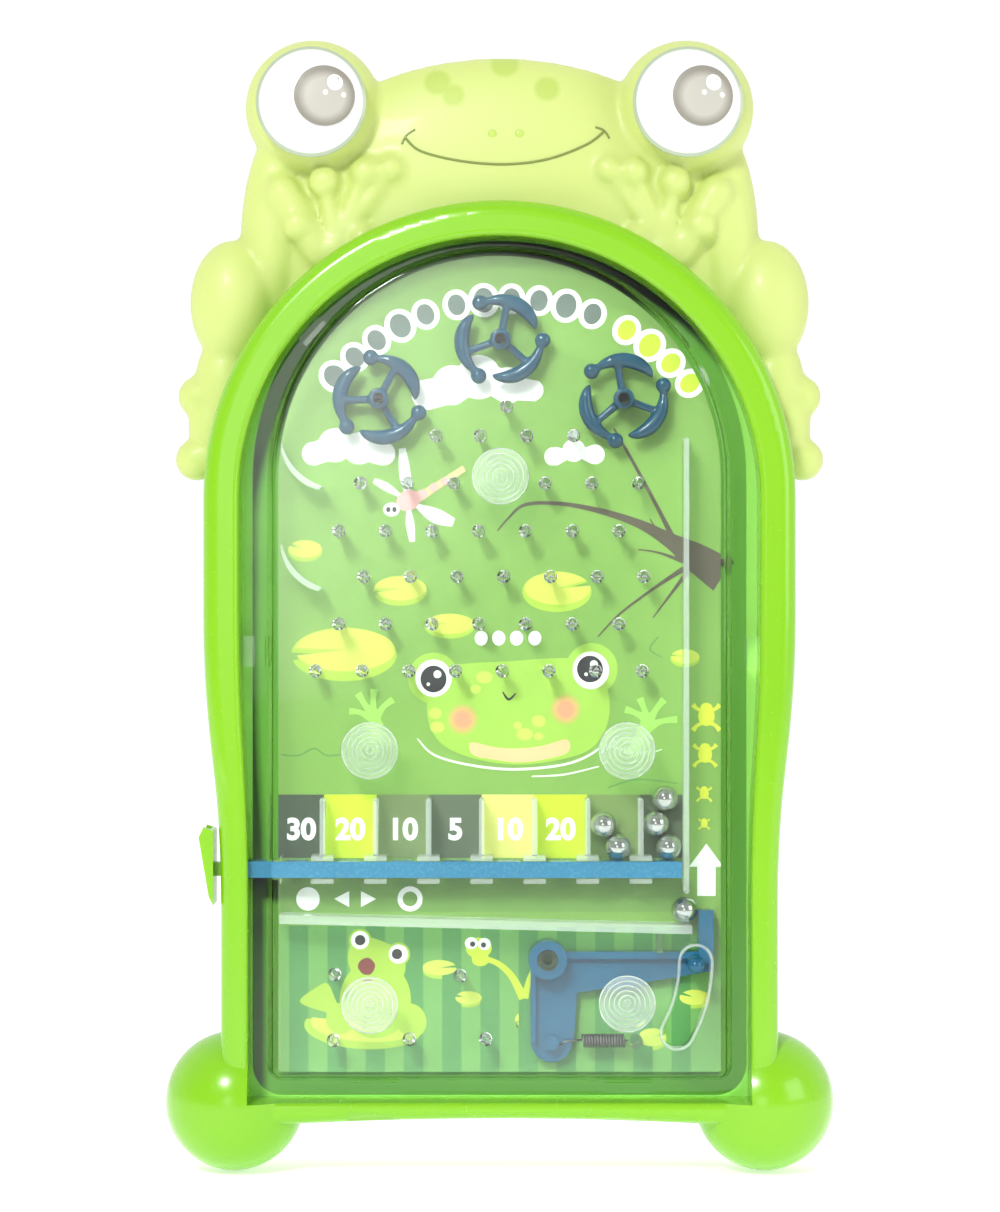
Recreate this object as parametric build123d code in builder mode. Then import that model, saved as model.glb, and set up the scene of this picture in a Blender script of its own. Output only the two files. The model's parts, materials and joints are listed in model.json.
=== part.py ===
from build123d import *
import math
import os

# Hand-held frog ball game: a steel ball is flicked up a lane, falls through pins and
# spinners into score pockets, and a sliding gate drops it back to the launcher.
# X is to the player's right, Y goes from the clear cover to the back, Z is up the field.
# The origin is on the ground line, midway between the two round feet.

# ---- balls and the space they run in -------------------------------------------------
ball_d = 6.0
touch = 0.1                      # play left where two bodies rest on each other
play_gap = ball_d + 1.8           # from the printed card to the cover's inner face
card_t = 0.6
cover_t = 1.6
tray_t = 2.0
tray_back_y = 1.0
tray_front_y = tray_back_y - tray_t
card_front_y = tray_front_y - card_t
roof_y = card_front_y - play_gap             # inner face of the cover
cover_front_y = roof_y - cover_t
rib_gap = 0.3                                # ribs and pins stop this far from the card
rib_y = card_front_y - rib_gap
ball_y = card_front_y - ball_d / 2 - touch

# ---- green frame ----------------------------------------------------------------------
foot_r = 16.0
parting_y = 0.0
frame_front_y = cover_front_y - 2.0
back_y = foot_r
wall = 2.0
arch_z = 155.0
frame_half = 67.5                            # outside of the arch
foot_x = frame_half - 6.5
waist_half = frame_half - 4.0                # outside of the narrow lower part
band_w = 8.2
waist_band_w = 6.3
waist_top_z = arch_z - 28.0
waist_low_z = 63.0
bar_low_z = 11.0
bar_crown_z = bar_low_z + 2.2
sill_z = bar_low_z + 6.0
rear_edge_r = 3.0
frame_edge_r = 3.6
lip_edge_r = 1.3

# ---- clear cover ----------------------------------------------------------------------
side_gap = 5.5                               # from the frame's opening to the cover
cover_half = frame_half - band_w - side_gap
cover_arch_z = arch_z + 4.4
cover_low_z = sill_z + 3.5
cover_corner_r = 4.0
cover_draft = 12.0
flange_t = 1.4
flange_w = 3.0
fit_gap = 0.3                                # between parts that only lie side by side
rib_t = 1.2

# ---- pins and bumpers -----------------------------------------------------------------
pin_r = 0.9
pin_collar_r = 1.5
pin_collar_h = 1.6
pitch = 10.65
bumper_r = 6.5
bumper_h = 2.4
bumper_steps = 5

# ---- score pockets and gate -----------------------------------------------------------
pocket_pitch = 12.1
pocket_count = 8
pocket_floor_z = 73.0
pocket_h = 13.1
floor_t = 1.1
drop_w = ball_d + 1.0
gate_h = 3.7
gate_play = 0.4
gate_web_t = 0.8
gate_tooth_w = 5.0
gate_end_l = 3.7                             # of the bar outside the cover
lane_w = ball_d + 3.6
lane_x = cover_half - cover_t - lane_w
lane_top_z = arch_z + 13.4
first_divider_x = lane_x - 10.4 - (pocket_count - 2) * pocket_pitch

# ---- launcher -------------------------------------------------------------------------
ramp_left_x = -(cover_half - cover_t) + 2.0
ramp_left_z = pocket_floor_z - 13.4
ramp_right_x = lane_x + 1.3
ramp_right_z = ramp_left_z - 2.4
lane_low_z = ramp_right_z + ball_d + 1.2
ramp_t = 2.0
pivot_x = lane_x - 31.6
pivot_z = ramp_right_z - 8.0
post_r = 2.3
run_gap = 0.08                               # running clearance on posts and axles
crank_boss_r = post_r + 2.1
crank_plate_t = 2.2
crank_rib_h = 1.6
knob_arm = lane_x + 2.0 - pivot_x
knob_r = 1.9
slot_w = 6.4
slot_rim_t = 1.1
slot_rim_h = 1.0
slot_top_angle = 0.0
slot_sweep = 29.0
pull_angle = 26.0
pin_arm = 19.1
striker_x = ramp_right_x + 1.6
striker_w = 3.4
striker_top_z = ramp_right_z + 3.2
spring_x = pivot_x + 20.2
spring_coil_l = 10.4
spring_r = 1.7
spring_wire = 0.5

# ---- spinners -------------------------------------------------------------------------
axle_r = 1.2
hub_r = axle_r + 1.2
blade_t = 3.0
blade_r = 10.0                               # out to the back of a crescent blade
blade_w = 2.6
blade_tail_r = 6.4
tip_r = 1.6
spoke_w = 1.7
spinner_places = {
    "left": (-27.7, arch_z + 22.4),
    "top": (0.2, arch_z + 36.0),
    "right": (28.4, arch_z + 22.4),
}
spinner_turn = {"left": 62.0, "top": 80.0, "right": 100.0}

# ---- frog figure ----------------------------------------------------------------------
frog_seam_y = 4.0
frog_front_y = -6.0
frog_back_y = 13.0
frog_wall = 2.0
eye_x = frame_half - 24.5
eye_z = arch_z + 90.0
eye_ring_r = 16.0
eye_white_r = 12.6
eye_white_rise = 3.6
eye_ring_y = -9.5
eye_seat_t = 1.0
pupil_r = 6.9
pupil_t = 0.5
pupil_dx = 3.2
head_z = arch_z + 60.0
head_rx = frame_half - 8.5
head_rz = 42.3
thigh_x = frame_half - 5.8
thigh_z = arch_z + 45.2
thigh_rx, thigh_rz = 9.7, 14.3
toe_r = 5.0
toe_places = ((frame_half + 2.0, arch_z + 23.5), (frame_half + 2.7, arch_z + 8.7))
foot_pad_x = frame_half - 3.2
foot_pad_z = arch_z + 21.0
foot_pad_w = 8.6
foot_pad_l = 34.0
thigh_rise = 2.0
finger_pads = [
    (frame_half - 27.5, arch_z + 72.5, 3.8),
    (frame_half - 36.8, arch_z + 75.0, 3.6),
    (frame_half - 42.8, arch_z + 75.5, 3.3),
    (frame_half - 21.1, arch_z + 62.6, 4.0),
    (frame_half - 35.6, arch_z + 59.5, 3.4),
]

# ---- fastenings -----------------------------------------------------------------------
screw_r = 1.3
screw_head_r = 2.8
screw_head_h = 1.2
boss_r = 3.2
screw_pad_t = 2.0
screw_side_x = cover_half - 5.8
screw_places = [(side * screw_side_x, arch_z - 35.0) for side in (-1, 1)]
screw_places += [(side * (screw_side_x - 3.0), sill_z + 23.0) for side in (-1, 1)]
screw_places += [(side * (screw_side_x - 18.0), arch_z + 35.0) for side in (-1, 1)]
clip_z = arch_z - 35.4
tab_w = 7.0
tab_t = 1.6
tab_reach = 1.3
arch_tab_angles = (41.5, 138.5)
arch_tab_l = 4.6
bracket_t = 1.6
bottom_lugs = (-28.9, 29.6)
lug_w = 11.0
lug_h = 1.4
window_w = 12.4
window_h = 2.4


def front_plane(y):
    """Drawing plane facing the player, with X to the right and Z up, at depth y."""
    return Plane.XZ.offset(-y)


def at_pivot(y):
    """Drawing plane facing the player at depth y, with its origin on the crank's pivot."""
    return Plane(origin=(pivot_x, y, pivot_z), x_dir=(1, 0, 0), z_dir=(0, -1, 0))


def arch_outline(half, low_half, base_z, crown_z):
    """Lines of the frame's arch: round top, straight sides drawn in to a narrower waist."""
    mid_half = (half + low_half) / 2
    mid_z = (waist_top_z + waist_low_z) / 2
    Line((half, arch_z), (half, waist_top_z))
    upper = TangentArc((half, waist_top_z), (mid_half, mid_z), tangent=(0, -1))
    TangentArc((low_half, waist_low_z), (mid_half, mid_z), tangent=(0, 1))
    Line((low_half, waist_low_z), (low_half, base_z))
    if crown_z > base_z:
        ThreePointArc((low_half, base_z), (0, crown_z), (-low_half, base_z))
    else:
        Line((low_half, base_z), (-low_half, base_z))
    Line((-low_half, base_z), (-low_half, waist_low_z))
    TangentArc((-low_half, waist_low_z), (-mid_half, mid_z), tangent=(0, 1))
    TangentArc((-half, waist_top_z), (-mid_half, mid_z), tangent=(0, -1))
    Line((-half, waist_top_z), (-half, arch_z))
    ThreePointArc((-half, arch_z), (0, arch_z + half), (half, arch_z))


def cover_outline():
    """Lines of the cover: half-round top, straight sides, small bottom corners."""
    side, low, corner = cover_half, cover_low_z, cover_corner_r
    Line((side, cover_arch_z), (side, low + corner))
    JernArc((side, low + corner), (0, -1), corner, -90)
    Line((side - corner, low), (-side + corner, low))
    JernArc((-side + corner, low), (-1, 0), corner, -90)
    Line((-side, low + corner), (-side, cover_arch_z))
    ThreePointArc((-side, cover_arch_z), (0, cover_arch_z + side), (side, cover_arch_z))


def opening_outline():
    """Lines of the frame's opening, one band width inside its outer edge."""
    arch_outline(frame_half - band_w, waist_half - waist_band_w, sill_z, sill_z)


def keep(piece, label):
    """Labels a finished piece and writes it out."""
    piece.part.label = label
    export_step(piece.part, f"parts/{label}.step")


os.makedirs("parts", exist_ok=True)

opening_half = frame_half - band_w
opening_low_half = waist_half - waist_band_w
gate_z = pocket_floor_z - floor_t - gate_play / 2 - gate_h / 2
gate_travel = pocket_pitch / 2
window_y = tray_front_y - flange_t - window_h / 2 - 0.4

# ---- front frame: hollow band round the field, front halves of the feet ----------------
with BuildPart() as frame_core:
    with BuildSketch(front_plane(parting_y)):
        with BuildLine():
            arch_outline(frame_half - wall, waist_half - wall, bar_low_z + wall, bar_crown_z + wall)
        make_face()
    extrude(amount=parting_y - frame_front_y - wall)
    with Locations((foot_x, 0, foot_r), (-foot_x, 0, foot_r)):
        Sphere(foot_r - wall)
    with BuildSketch(front_plane(back_y)):
        with BuildLine():
            arch_outline(opening_half + wall, opening_low_half + wall, sill_z - wall, sill_z - wall)
        make_face()
    extrude(amount=2 * back_y, mode=Mode.SUBTRACT)

with BuildPart() as front_frame:
    with BuildSketch(front_plane(parting_y)):
        with BuildLine():
            arch_outline(frame_half, waist_half, bar_low_z, bar_crown_z)
        make_face()
        with BuildLine():
            opening_outline()
        make_face(mode=Mode.SUBTRACT)
    extrude(amount=parting_y - frame_front_y)
    front_face = front_frame.faces().sort_by(Axis.Y)[0]
    fillet(front_face.outer_wire().edges(), frame_edge_r)
    front_face = front_frame.faces().filter_by(Axis.Y).sort_by(Axis.Y)[0]
    fillet(front_face.inner_wires()[0].edges(), lip_edge_r)
    with Locations((foot_x, 0, foot_r), (-foot_x, 0, foot_r)):
        Sphere(foot_r)
    with BuildSketch(front_plane(back_y)):
        with BuildLine():
            opening_outline()
        make_face()
    extrude(amount=2.5 * back_y, mode=Mode.SUBTRACT)
    add(frame_core.part, mode=Mode.SUBTRACT)
    # seat for the tray behind the inner wall
    with BuildSketch(front_plane(parting_y)):
        with BuildLine():
            arch_outline(opening_half + wall, opening_low_half + wall, sill_z - wall, sill_z - wall)
        make_face()
    extrude(amount=parting_y - tray_front_y, mode=Mode.SUBTRACT)
    # way through both walls for the gate bar and its pull
    with Locations((-waist_half, (roof_y + rib_y) / 2, gate_z)):
        Box(2 * waist_band_w + 6, play_gap, gate_h + 2 * gate_play, mode=Mode.SUBTRACT)
    # windows for the cover's snap tabs
    with Locations((opening_half - 0.8, window_y, clip_z)):
        Box(wall + 2.6, window_h, window_w, mode=Mode.SUBTRACT)
    with Locations((-opening_half + 0.8, window_y, clip_z)):
        Box(wall + 2.6, window_h, window_w, mode=Mode.SUBTRACT)
    for angle in arch_tab_angles:
        with Locations(Location((0, window_y, arch_z), (0, -angle, 0))):
            with Locations((opening_half + wall / 2, 0, 0)):
                Box(wall + 1.2, window_h, window_w, mode=Mode.SUBTRACT)
    split(bisect_by=Plane.XZ, keep=Keep.TOP)
keep(front_frame, "front_frame")

# ---- rear shell: back wall, sides and the rear halves of the feet ----------------------
with BuildPart() as shell_core:
    with BuildSketch(front_plane(back_y - wall)):
        with BuildLine():
            arch_outline(frame_half - wall, waist_half - wall, bar_low_z + wall, bar_crown_z + wall)
        make_face()
    extrude(amount=back_y - wall - parting_y)
    with Locations((foot_x, 0, foot_r), (-foot_x, 0, foot_r)):
        Sphere(foot_r - wall)

with BuildPart() as rear_shell:
    with BuildSketch(front_plane(back_y)):
        with BuildLine():
            arch_outline(frame_half, waist_half, bar_low_z, bar_crown_z)
        make_face()
    extrude(amount=back_y - parting_y)
    back_face = rear_shell.faces().sort_by(Axis.Y)[-1]
    fillet(back_face.outer_wire().edges(), rear_edge_r)
    with Locations((foot_x, 0, foot_r), (-foot_x, 0, foot_r)):
        Sphere(foot_r)
    add(shell_core.part, mode=Mode.SUBTRACT)
    split(bisect_by=Plane.XZ, keep=Keep.BOTTOM)
    # a pad, a clearance hole and a sunk seat for each screw
    with BuildSketch(front_plane(back_y - wall)):
        with Locations(*screw_places):
            Circle(boss_r + 1.2)
    extrude(amount=screw_pad_t)
    with BuildSketch(front_plane(back_y)):
        with Locations(*screw_places):
            Circle(screw_r + 0.3)
    extrude(amount=wall + screw_pad_t, mode=Mode.SUBTRACT)
    with BuildSketch(front_plane(back_y)):
        with Locations(*screw_places):
            Circle(screw_head_r + 0.2)
    extrude(amount=screw_head_h + 0.3, mode=Mode.SUBTRACT)
keep(rear_shell, "rear_shell")

# ---- tray that carries the card, with a post for each screw -----------------------------
post_end_y = back_y - wall - screw_pad_t
with BuildPart() as playfield_tray:
    with BuildSketch(front_plane(tray_back_y)):
        with BuildLine():
            opening_outline()
        make_face()
        offset(amount=wall - fit_gap)
    extrude(amount=tray_t)
    with BuildSketch(front_plane(post_end_y)):
        with Locations(*screw_places):
            Circle(boss_r)
    extrude(amount=post_end_y - tray_back_y)
    with BuildSketch(front_plane(post_end_y)):
        with Locations(*screw_places):
            Circle(screw_r + 0.05)
    extrude(amount=post_end_y - tray_back_y - 1, mode=Mode.SUBTRACT)
keep(playfield_tray, "playfield_tray")

# ---- screws that pull the rear shell onto the tray posts --------------------------------
with BuildPart() as tray_screws:
    with BuildSketch(front_plane(back_y - 0.3)):
        with Locations(*screw_places):
            Circle(screw_head_r)
    extrude(amount=screw_head_h)
    with BuildSketch(front_plane(back_y - 0.3 - screw_head_h)):
        with Locations(*screw_places):
            Circle(screw_r)
    extrude(amount=back_y - 0.3 - screw_head_h - tray_back_y - 2)
    for cross_turn in (0, 90):
        with BuildSketch(front_plane(back_y - 0.3)):
            with Locations(*screw_places):
                Rectangle(screw_head_r * 1.1, 0.6, rotation=cross_turn)
        extrude(amount=screw_head_h * 0.6, mode=Mode.SUBTRACT)
keep(tray_screws, "tray_screws")

# ---- clear cover: drafted dome box with a flange and snap tabs --------------------------
slot_line = CenterArc((0, 0), knob_arm, slot_top_angle - slot_sweep, slot_sweep)
with BuildPart() as clear_cover:
    with BuildSketch(front_plane(tray_front_y)):
        with BuildLine():
            cover_outline()
        make_face()
    extrude(amount=tray_front_y - cover_front_y, taper=cover_draft)
    front_rim = clear_cover.faces().sort_by(Axis.Y)[0].outer_wire().edges()
    fillet(front_rim, 1.0)
    with BuildSketch(front_plane(tray_front_y)):
        with BuildLine():
            cover_outline()
        make_face()
        offset(amount=flange_w)
        with BuildLine():
            opening_outline()
        inner_limit = make_face(mode=Mode.PRIVATE)
        add(offset(inner_limit, amount=-fit_gap, mode=Mode.PRIVATE), mode=Mode.INTERSECT)
    extrude(amount=flange_t)
    with BuildSketch(front_plane(tray_front_y)):
        with BuildLine():
            cover_outline()
        make_face()
        offset(amount=-cover_t)
    extrude(amount=tray_front_y - roof_y, taper=cover_draft, mode=Mode.SUBTRACT)
    # snap tabs: a bracket on the flange carries each tab into its window
    bracket_y = (tray_front_y - flange_t / 2 + window_y) / 2
    bracket_d = tray_front_y - flange_t / 2 - window_y + tab_t / 2
    for side in (-1, 1):
        with Locations((side * (cover_half + opening_half + tab_reach) / 2, window_y, clip_z)):
            Box(opening_half + tab_reach - cover_half, tab_t, tab_w)
        with Locations((side * (cover_half + flange_w / 2 - 0.3), bracket_y, clip_z)):
            Box(flange_w - 0.6, bracket_d, tab_w)
    for angle in arch_tab_angles:
        with Locations(Location((0, window_y, arch_z), (0, -angle, 0))):
            with Locations((opening_half + tab_reach - arch_tab_l / 2, 0, 0)):
                Box(arch_tab_l, tab_t, tab_w)
        with Locations(Location((0, bracket_y, arch_z), (0, -angle, 0))):
            with Locations((opening_half - fit_gap - bracket_t / 2, 0, 0)):
                Box(bracket_t, bracket_d, tab_w)
    # low lugs on the bottom flange
    for lug_x in bottom_lugs:
        with Locations((lug_x, tray_front_y - flange_t - lug_h / 2, cover_low_z - flange_w / 2 + 0.2)):
            Box(lug_w, lug_h, flange_w - 0.6)
    # way in for the gate bar
    with Locations((-cover_half, (roof_y + rib_y) / 2, gate_z)):
        Box(8, play_gap - 0.1, gate_h + 2 * gate_play, mode=Mode.SUBTRACT)
    # curved slot for the launcher knob, with a raised rim
    with BuildSketch(at_pivot(cover_front_y)):
        SlotArc(arc=slot_line, height=slot_w + 2 * slot_rim_t)
    extrude(amount=slot_rim_h)
    with BuildSketch(at_pivot(roof_y + 1)):
        SlotArc(arc=slot_line, height=slot_w)
    extrude(amount=cover_t + slot_rim_h + 1, mode=Mode.SUBTRACT)
keep(clear_cover, "clear_cover")

# ---- printed card ------------------------------------------------------------------------
with BuildPart() as playfield_card:
    with BuildSketch(front_plane(tray_front_y)):
        with BuildLine():
            cover_outline()
        make_face()
        offset(amount=-cover_t - fit_gap)
    extrude(amount=card_t)
keep(playfield_card, "playfield_card")

# ---- clear pins: staggered rows of round posts with a collar at the cover ----------------
top_row_z = arch_z + 13.8
pin_places = [(-14.5, top_row_z), (-4.4, top_row_z), (6.2, top_row_z), (16.9, top_row_z), (1.6, top_row_z + 6.7)]
pin_places += [(side * (10.4 + step * pitch), arch_z + 3.0) for side in (-1, 1) for step in range(3)]
pin_places += [(-36.7 + step * pitch, arch_z - row_z) for row_z in (7.9, 29.1) for step in range(7)]
pin_places += [(-31.0 + step * pitch, arch_z - 18.3) for step in range(7)]
pin_places += [(-42.0 + step * pitch, arch_z - 39.8) for step in range(8)]
pin_places += [(-37.6, pivot_z - 3.2), (-9.0, pivot_z - 3.5)]
pin_places += [(-37.9, pivot_z - 18.2), (-20.6, pivot_z - 18.0), (-3.2, pivot_z - 18.0)]

with BuildPart() as playfield_pins:
    with BuildSketch(front_plane(rib_y)):
        with Locations(*pin_places):
            Circle(pin_r)
    extrude(amount=rib_y - roof_y)
    with BuildSketch(front_plane(roof_y + pin_collar_h)):
        with Locations(*pin_places):
            Circle(pin_collar_r)
    extrude(amount=pin_collar_h)
    tips = playfield_pins.faces().filter_by(Axis.Y).group_by(Axis.Y)[-1]
    fillet(tips.edges(), 0.4)
keep(playfield_pins, "playfield_pins")

# ---- ring bumpers: shallow stepped discs under the cover ----------------------------------
bumper_places = [(0.2, arch_z + 4.6), (-29.6, pocket_floor_z + 24.0), (29.1, pocket_floor_z + 24.0)]
bumper_places += [(-29.6, pivot_z - 10.2), (29.1, pivot_z - 9.9)]
with BuildPart() as ring_bumpers:
    for step in range(bumper_steps):
        with BuildSketch(front_plane(roof_y + (step + 1) * bumper_h / bumper_steps)):
            with Locations(*bumper_places):
                Circle(bumper_r * (bumper_steps - step) / bumper_steps)
        extrude(amount=bumper_h / bumper_steps)
keep(ring_bumpers, "ring_bumpers")

# ---- launch lane wall -----------------------------------------------------------------------
with BuildPart() as lane_wall:
    with BuildSketch(front_plane(rib_y)):
        with Locations((lane_x, (lane_low_z + lane_top_z) / 2)):
            SlotOverall(lane_top_z - lane_low_z, rib_t, rotation=90)
    extrude(amount=rib_y - roof_y)
keep(lane_wall, "lane_wall")

# ---- pocket dividers, and the floor with its drop gaps --------------------------------------
divider_xs = [first_divider_x + step * pocket_pitch for step in range(pocket_count - 1)]
with BuildPart() as pocket_dividers:
    with BuildSketch(front_plane(rib_y)):
        for x in divider_xs:
            with Locations((x, pocket_floor_z + pocket_h / 2)):
                Rectangle(rib_t, pocket_h)
    extrude(amount=rib_y - roof_y)
    fillet(pocket_dividers.faces().group_by(Axis.Z)[-1].edges().filter_by(Axis.Y), rib_t * 0.45)
keep(pocket_dividers, "pocket_dividers")

floor_left_x = -(cover_half - cover_t) + 2.4
floor_seat_w = pocket_pitch - drop_w
with BuildPart() as pocket_floor:
    with BuildSketch(front_plane(rib_y)):
        left_seat_w = divider_xs[0] + floor_seat_w / 2 - pocket_pitch - floor_left_x
        for x in divider_xs:
            with Locations((x, pocket_floor_z - floor_t / 2)):
                Rectangle(floor_seat_w, floor_t)
        with Locations((floor_left_x + left_seat_w / 2, pocket_floor_z - floor_t / 2)):
            Rectangle(left_seat_w, floor_t)
    extrude(amount=rib_y - roof_y)
keep(pocket_floor, "pocket_floor")

gate_rail_z = gate_z - gate_h / 2 - gate_play / 2 - floor_t / 2
with BuildPart() as gate_rail:
    with BuildSketch(front_plane(rib_y)):
        for x in divider_xs:
            with Locations((x, gate_rail_z)):
                Rectangle(floor_seat_w, floor_t)
        with Locations((floor_left_x + left_seat_w / 2, gate_rail_z)):
            Rectangle(left_seat_w, floor_t)
    extrude(amount=rib_y - roof_y)
keep(gate_rail, "gate_rail")

# ---- sloped ramp that returns the balls to the launcher --------------------------------------
with BuildPart() as ball_ramp:
    with BuildSketch(front_plane(rib_y)):
        with BuildLine():
            Polyline(
                (ramp_left_x, ramp_left_z),
                (ramp_right_x, ramp_right_z),
                (ramp_right_x, ramp_right_z - ramp_t),
                (ramp_left_x, ramp_left_z - ramp_t),
                close=True,
            )
        make_face()
    extrude(amount=rib_y - roof_y)
keep(ball_ramp, "ball_ramp")

# ---- two curved vanes on the left wall --------------------------------------------------------
vane_tops = (arch_z + 12.4, arch_z - 10.7)
vane_drop = 10.0
vane_l = 9.3
vane_sag = 1.8
wall_x = -(cover_half - cover_t) + 2.4
with BuildPart() as deflector_vanes:
    for top in vane_tops:
        with BuildSketch(front_plane(rib_y)):
            with BuildLine():
                upper = ThreePointArc(
                    (wall_x, top),
                    (wall_x + vane_l / 2 - vane_sag * 0.7, top - vane_drop / 2 - vane_sag * 0.7),
                    (wall_x + vane_l, top - vane_drop),
                )
                Line((wall_x + vane_l, top - vane_drop), (wall_x + vane_l - 0.8, top - vane_drop - 0.9))
                lower = ThreePointArc(
                    (wall_x + vane_l - 0.8, top - vane_drop - 0.9),
                    (wall_x + vane_l / 2 - vane_sag * 0.7 - 0.9, top - vane_drop / 2 - vane_sag * 0.7 - 0.9),
                    (wall_x, top - 1.7),
                )
                Line((wall_x, top - 1.7), (wall_x, top))
            make_face()
        extrude(amount=rib_y - roof_y)
keep(deflector_vanes, "deflector_vanes")

# ---- spinners: hub, three spokes and three crescent blades with a ball tip --------------------
spinner_back_y = rib_y - 1.9


def polar(radius, angle):
    """A point of the drawing plane, by its distance and angle from the plane's origin."""
    return (radius * math.cos(math.radians(angle)), radius * math.sin(math.radians(angle)))


for place, (x, z) in spinner_places.items():
    turn = spinner_turn[place]
    hub_plane = Plane(origin=(x, rib_y, z), x_dir=(1, 0, 0), z_dir=(0, -1, 0))
    blade_plane = Plane(origin=(x, spinner_back_y, z), x_dir=(1, 0, 0), z_dir=(0, -1, 0))
    with BuildPart() as spinner:
        with BuildSketch(hub_plane):
            Circle(hub_r)
        extrude(amount=rib_y - roof_y - 0.5)
        for spoke in range(3):
            angle = turn + 120 * spoke
            with BuildSketch(blade_plane):
                with Locations(Location((0, 0, 0), (0, 0, angle))):
                    with Locations((blade_r / 2 - 0.2, 0)):
                        Rectangle(blade_r - 2.4, spoke_w)
                with BuildLine():
                    tail = polar(blade_tail_r, angle - 66)
                    ThreePointArc(tail, polar(blade_r, angle - 14), polar(blade_r + 0.6, angle + 35))
                    Line(polar(blade_r + 0.6, angle + 35), polar(blade_r - 1.0, angle + 35))
                    ThreePointArc(polar(blade_r - 1.0, angle + 35), polar(blade_r - blade_w, angle - 6), tail)
                make_face()
                with Locations(polar(blade_r - 0.1, angle + 41)):
                    Circle(tip_r)
            extrude(amount=blade_t)
        with BuildSketch(hub_plane):
            Circle(axle_r + run_gap)
        extrude(amount=rib_y - roof_y, mode=Mode.SUBTRACT)
    keep(spinner, f"spinner_{place}")

with BuildPart() as spinner_axles:
    with BuildSketch(front_plane(card_front_y)):
        with Locations(*spinner_places.values()):
            Circle(axle_r)
    extrude(amount=card_front_y - roof_y)
keep(spinner_axles, "spinner_axles")

# ---- launcher crank: arm to the knob and striker, short arm to the spring -----------------------
crank_back_y = rib_y - 0.3
pin_x, pin_z = pivot_x + 0.9, pivot_z - pin_arm
knob_x, knob_z = pivot_x + knob_arm, pivot_z - 0.9
arm_top_z = pivot_z + 1.6
arm_low_z = pivot_z - 3.9
inner_x = pin_x + 5.9
inner_z = pivot_z - 7.9
with BuildPart() as launch_crank:
    with BuildSketch(front_plane(crank_back_y)):
        with BuildLine():
            Polyline(
                (pivot_x, arm_top_z),
                (striker_x, arm_top_z),
                (striker_x, striker_top_z),
                (striker_x + striker_w, striker_top_z),
                (striker_x + striker_w, arm_low_z + 1.0),
                (knob_x - 1.5, arm_low_z),
                (inner_x + 4.0, inner_z + 0.6),
                (inner_x, inner_z),
                (inner_x - 0.8, pin_z),
                (pivot_x - 3.9, pin_z),
                (pivot_x - 3.9, pivot_z),
                close=True,
            )
        make_face()
        with Locations((pivot_x, pivot_z)):
            Circle(crank_boss_r)
        with Locations((pin_x, pin_z)):
            Circle(4.7)
    extrude(amount=crank_plate_t)
    # ribs along the outer edges, and the thick striker
    with BuildSketch(front_plane(crank_back_y - crank_plate_t)):
        with Locations(((pivot_x + striker_x) / 2, arm_top_z - 0.8)):
            Rectangle(striker_x - pivot_x, 1.6)
        with Locations((pivot_x - 3.3, (pivot_z + pin_z) / 2)):
            Rectangle(1.2, pivot_z - pin_z)
    extrude(amount=crank_rib_h)
    with BuildSketch(front_plane(crank_back_y - crank_plate_t)):
        with Locations((striker_x + striker_w / 2, (striker_top_z + arm_low_z + 3) / 2)):
            Rectangle(striker_w, striker_top_z - arm_low_z - 3)
    extrude(amount=crank_rib_h + 0.7)
    # pivot boss
    with BuildSketch(front_plane(rib_y)):
        with Locations((pivot_x, pivot_z)):
            Circle(crank_boss_r)
    extrude(amount=rib_y - roof_y - 0.5)
    with BuildSketch(front_plane(rib_y)):
        with Locations((pivot_x, pivot_z)):
            Circle(post_r + run_gap)
    extrude(amount=play_gap, mode=Mode.SUBTRACT)
    # pin that holds the spring's hook
    with BuildSketch(front_plane(crank_back_y - crank_plate_t)):
        with Locations((pin_x, pin_z)):
            Circle(1.7)
    extrude(amount=2.6)
    # seat for the knob's stem
    with BuildSketch(front_plane(crank_back_y)):
        with Locations((knob_x, knob_z)):
            Circle(knob_r * 0.6)
    extrude(amount=crank_plate_t + crank_rib_h + 1, mode=Mode.SUBTRACT)
keep(launch_crank, "launch_crank")

# ---- finger knob: domed head in front of the cover, stem pressed into the crank -------------------
knob_back_y = crank_back_y - crank_plate_t - crank_rib_h - 0.7
with BuildPart() as crank_knob:
    with BuildSketch(front_plane(knob_back_y)):
        with Locations((knob_x, knob_z)):
            Circle(knob_r)
    extrude(amount=knob_back_y - cover_front_y + slot_rim_h)
    with BuildSketch(front_plane(crank_back_y)):
        with Locations((knob_x, knob_z)):
            Circle(knob_r * 0.6)
    extrude(amount=crank_back_y - knob_back_y)
    with Locations((knob_x, cover_front_y - slot_rim_h, knob_z)):
        Sphere(knob_r)
keep(crank_knob, "crank_knob")

with BuildPart() as crank_post:
    with BuildSketch(front_plane(card_front_y)):
        with Locations((pivot_x, pivot_z)):
            Circle(post_r)
            Circle(post_r * 0.45, mode=Mode.SUBTRACT)
    extrude(amount=card_front_y - roof_y)
keep(crank_post, "crank_post")

# ---- stop that the arm rests against, and the fixed post of the spring ----------------------------
with BuildPart() as crank_stop:
    with BuildSketch(front_plane(rib_y)):
        with Locations((ramp_right_x - 7.4, (ramp_right_z - ramp_t + arm_top_z + touch) / 2)):
            Rectangle(1.4, ramp_right_z - ramp_t - arm_top_z - touch)
    extrude(amount=rib_y - roof_y)
keep(crank_stop, "crank_stop")

with BuildPart() as spring_post:
    with BuildSketch(front_plane(rib_y)):
        with Locations((spring_x, pin_z + 0.4)):
            Circle(1.5)
    extrude(amount=rib_y - roof_y)
keep(spring_post, "spring_post")

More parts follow.
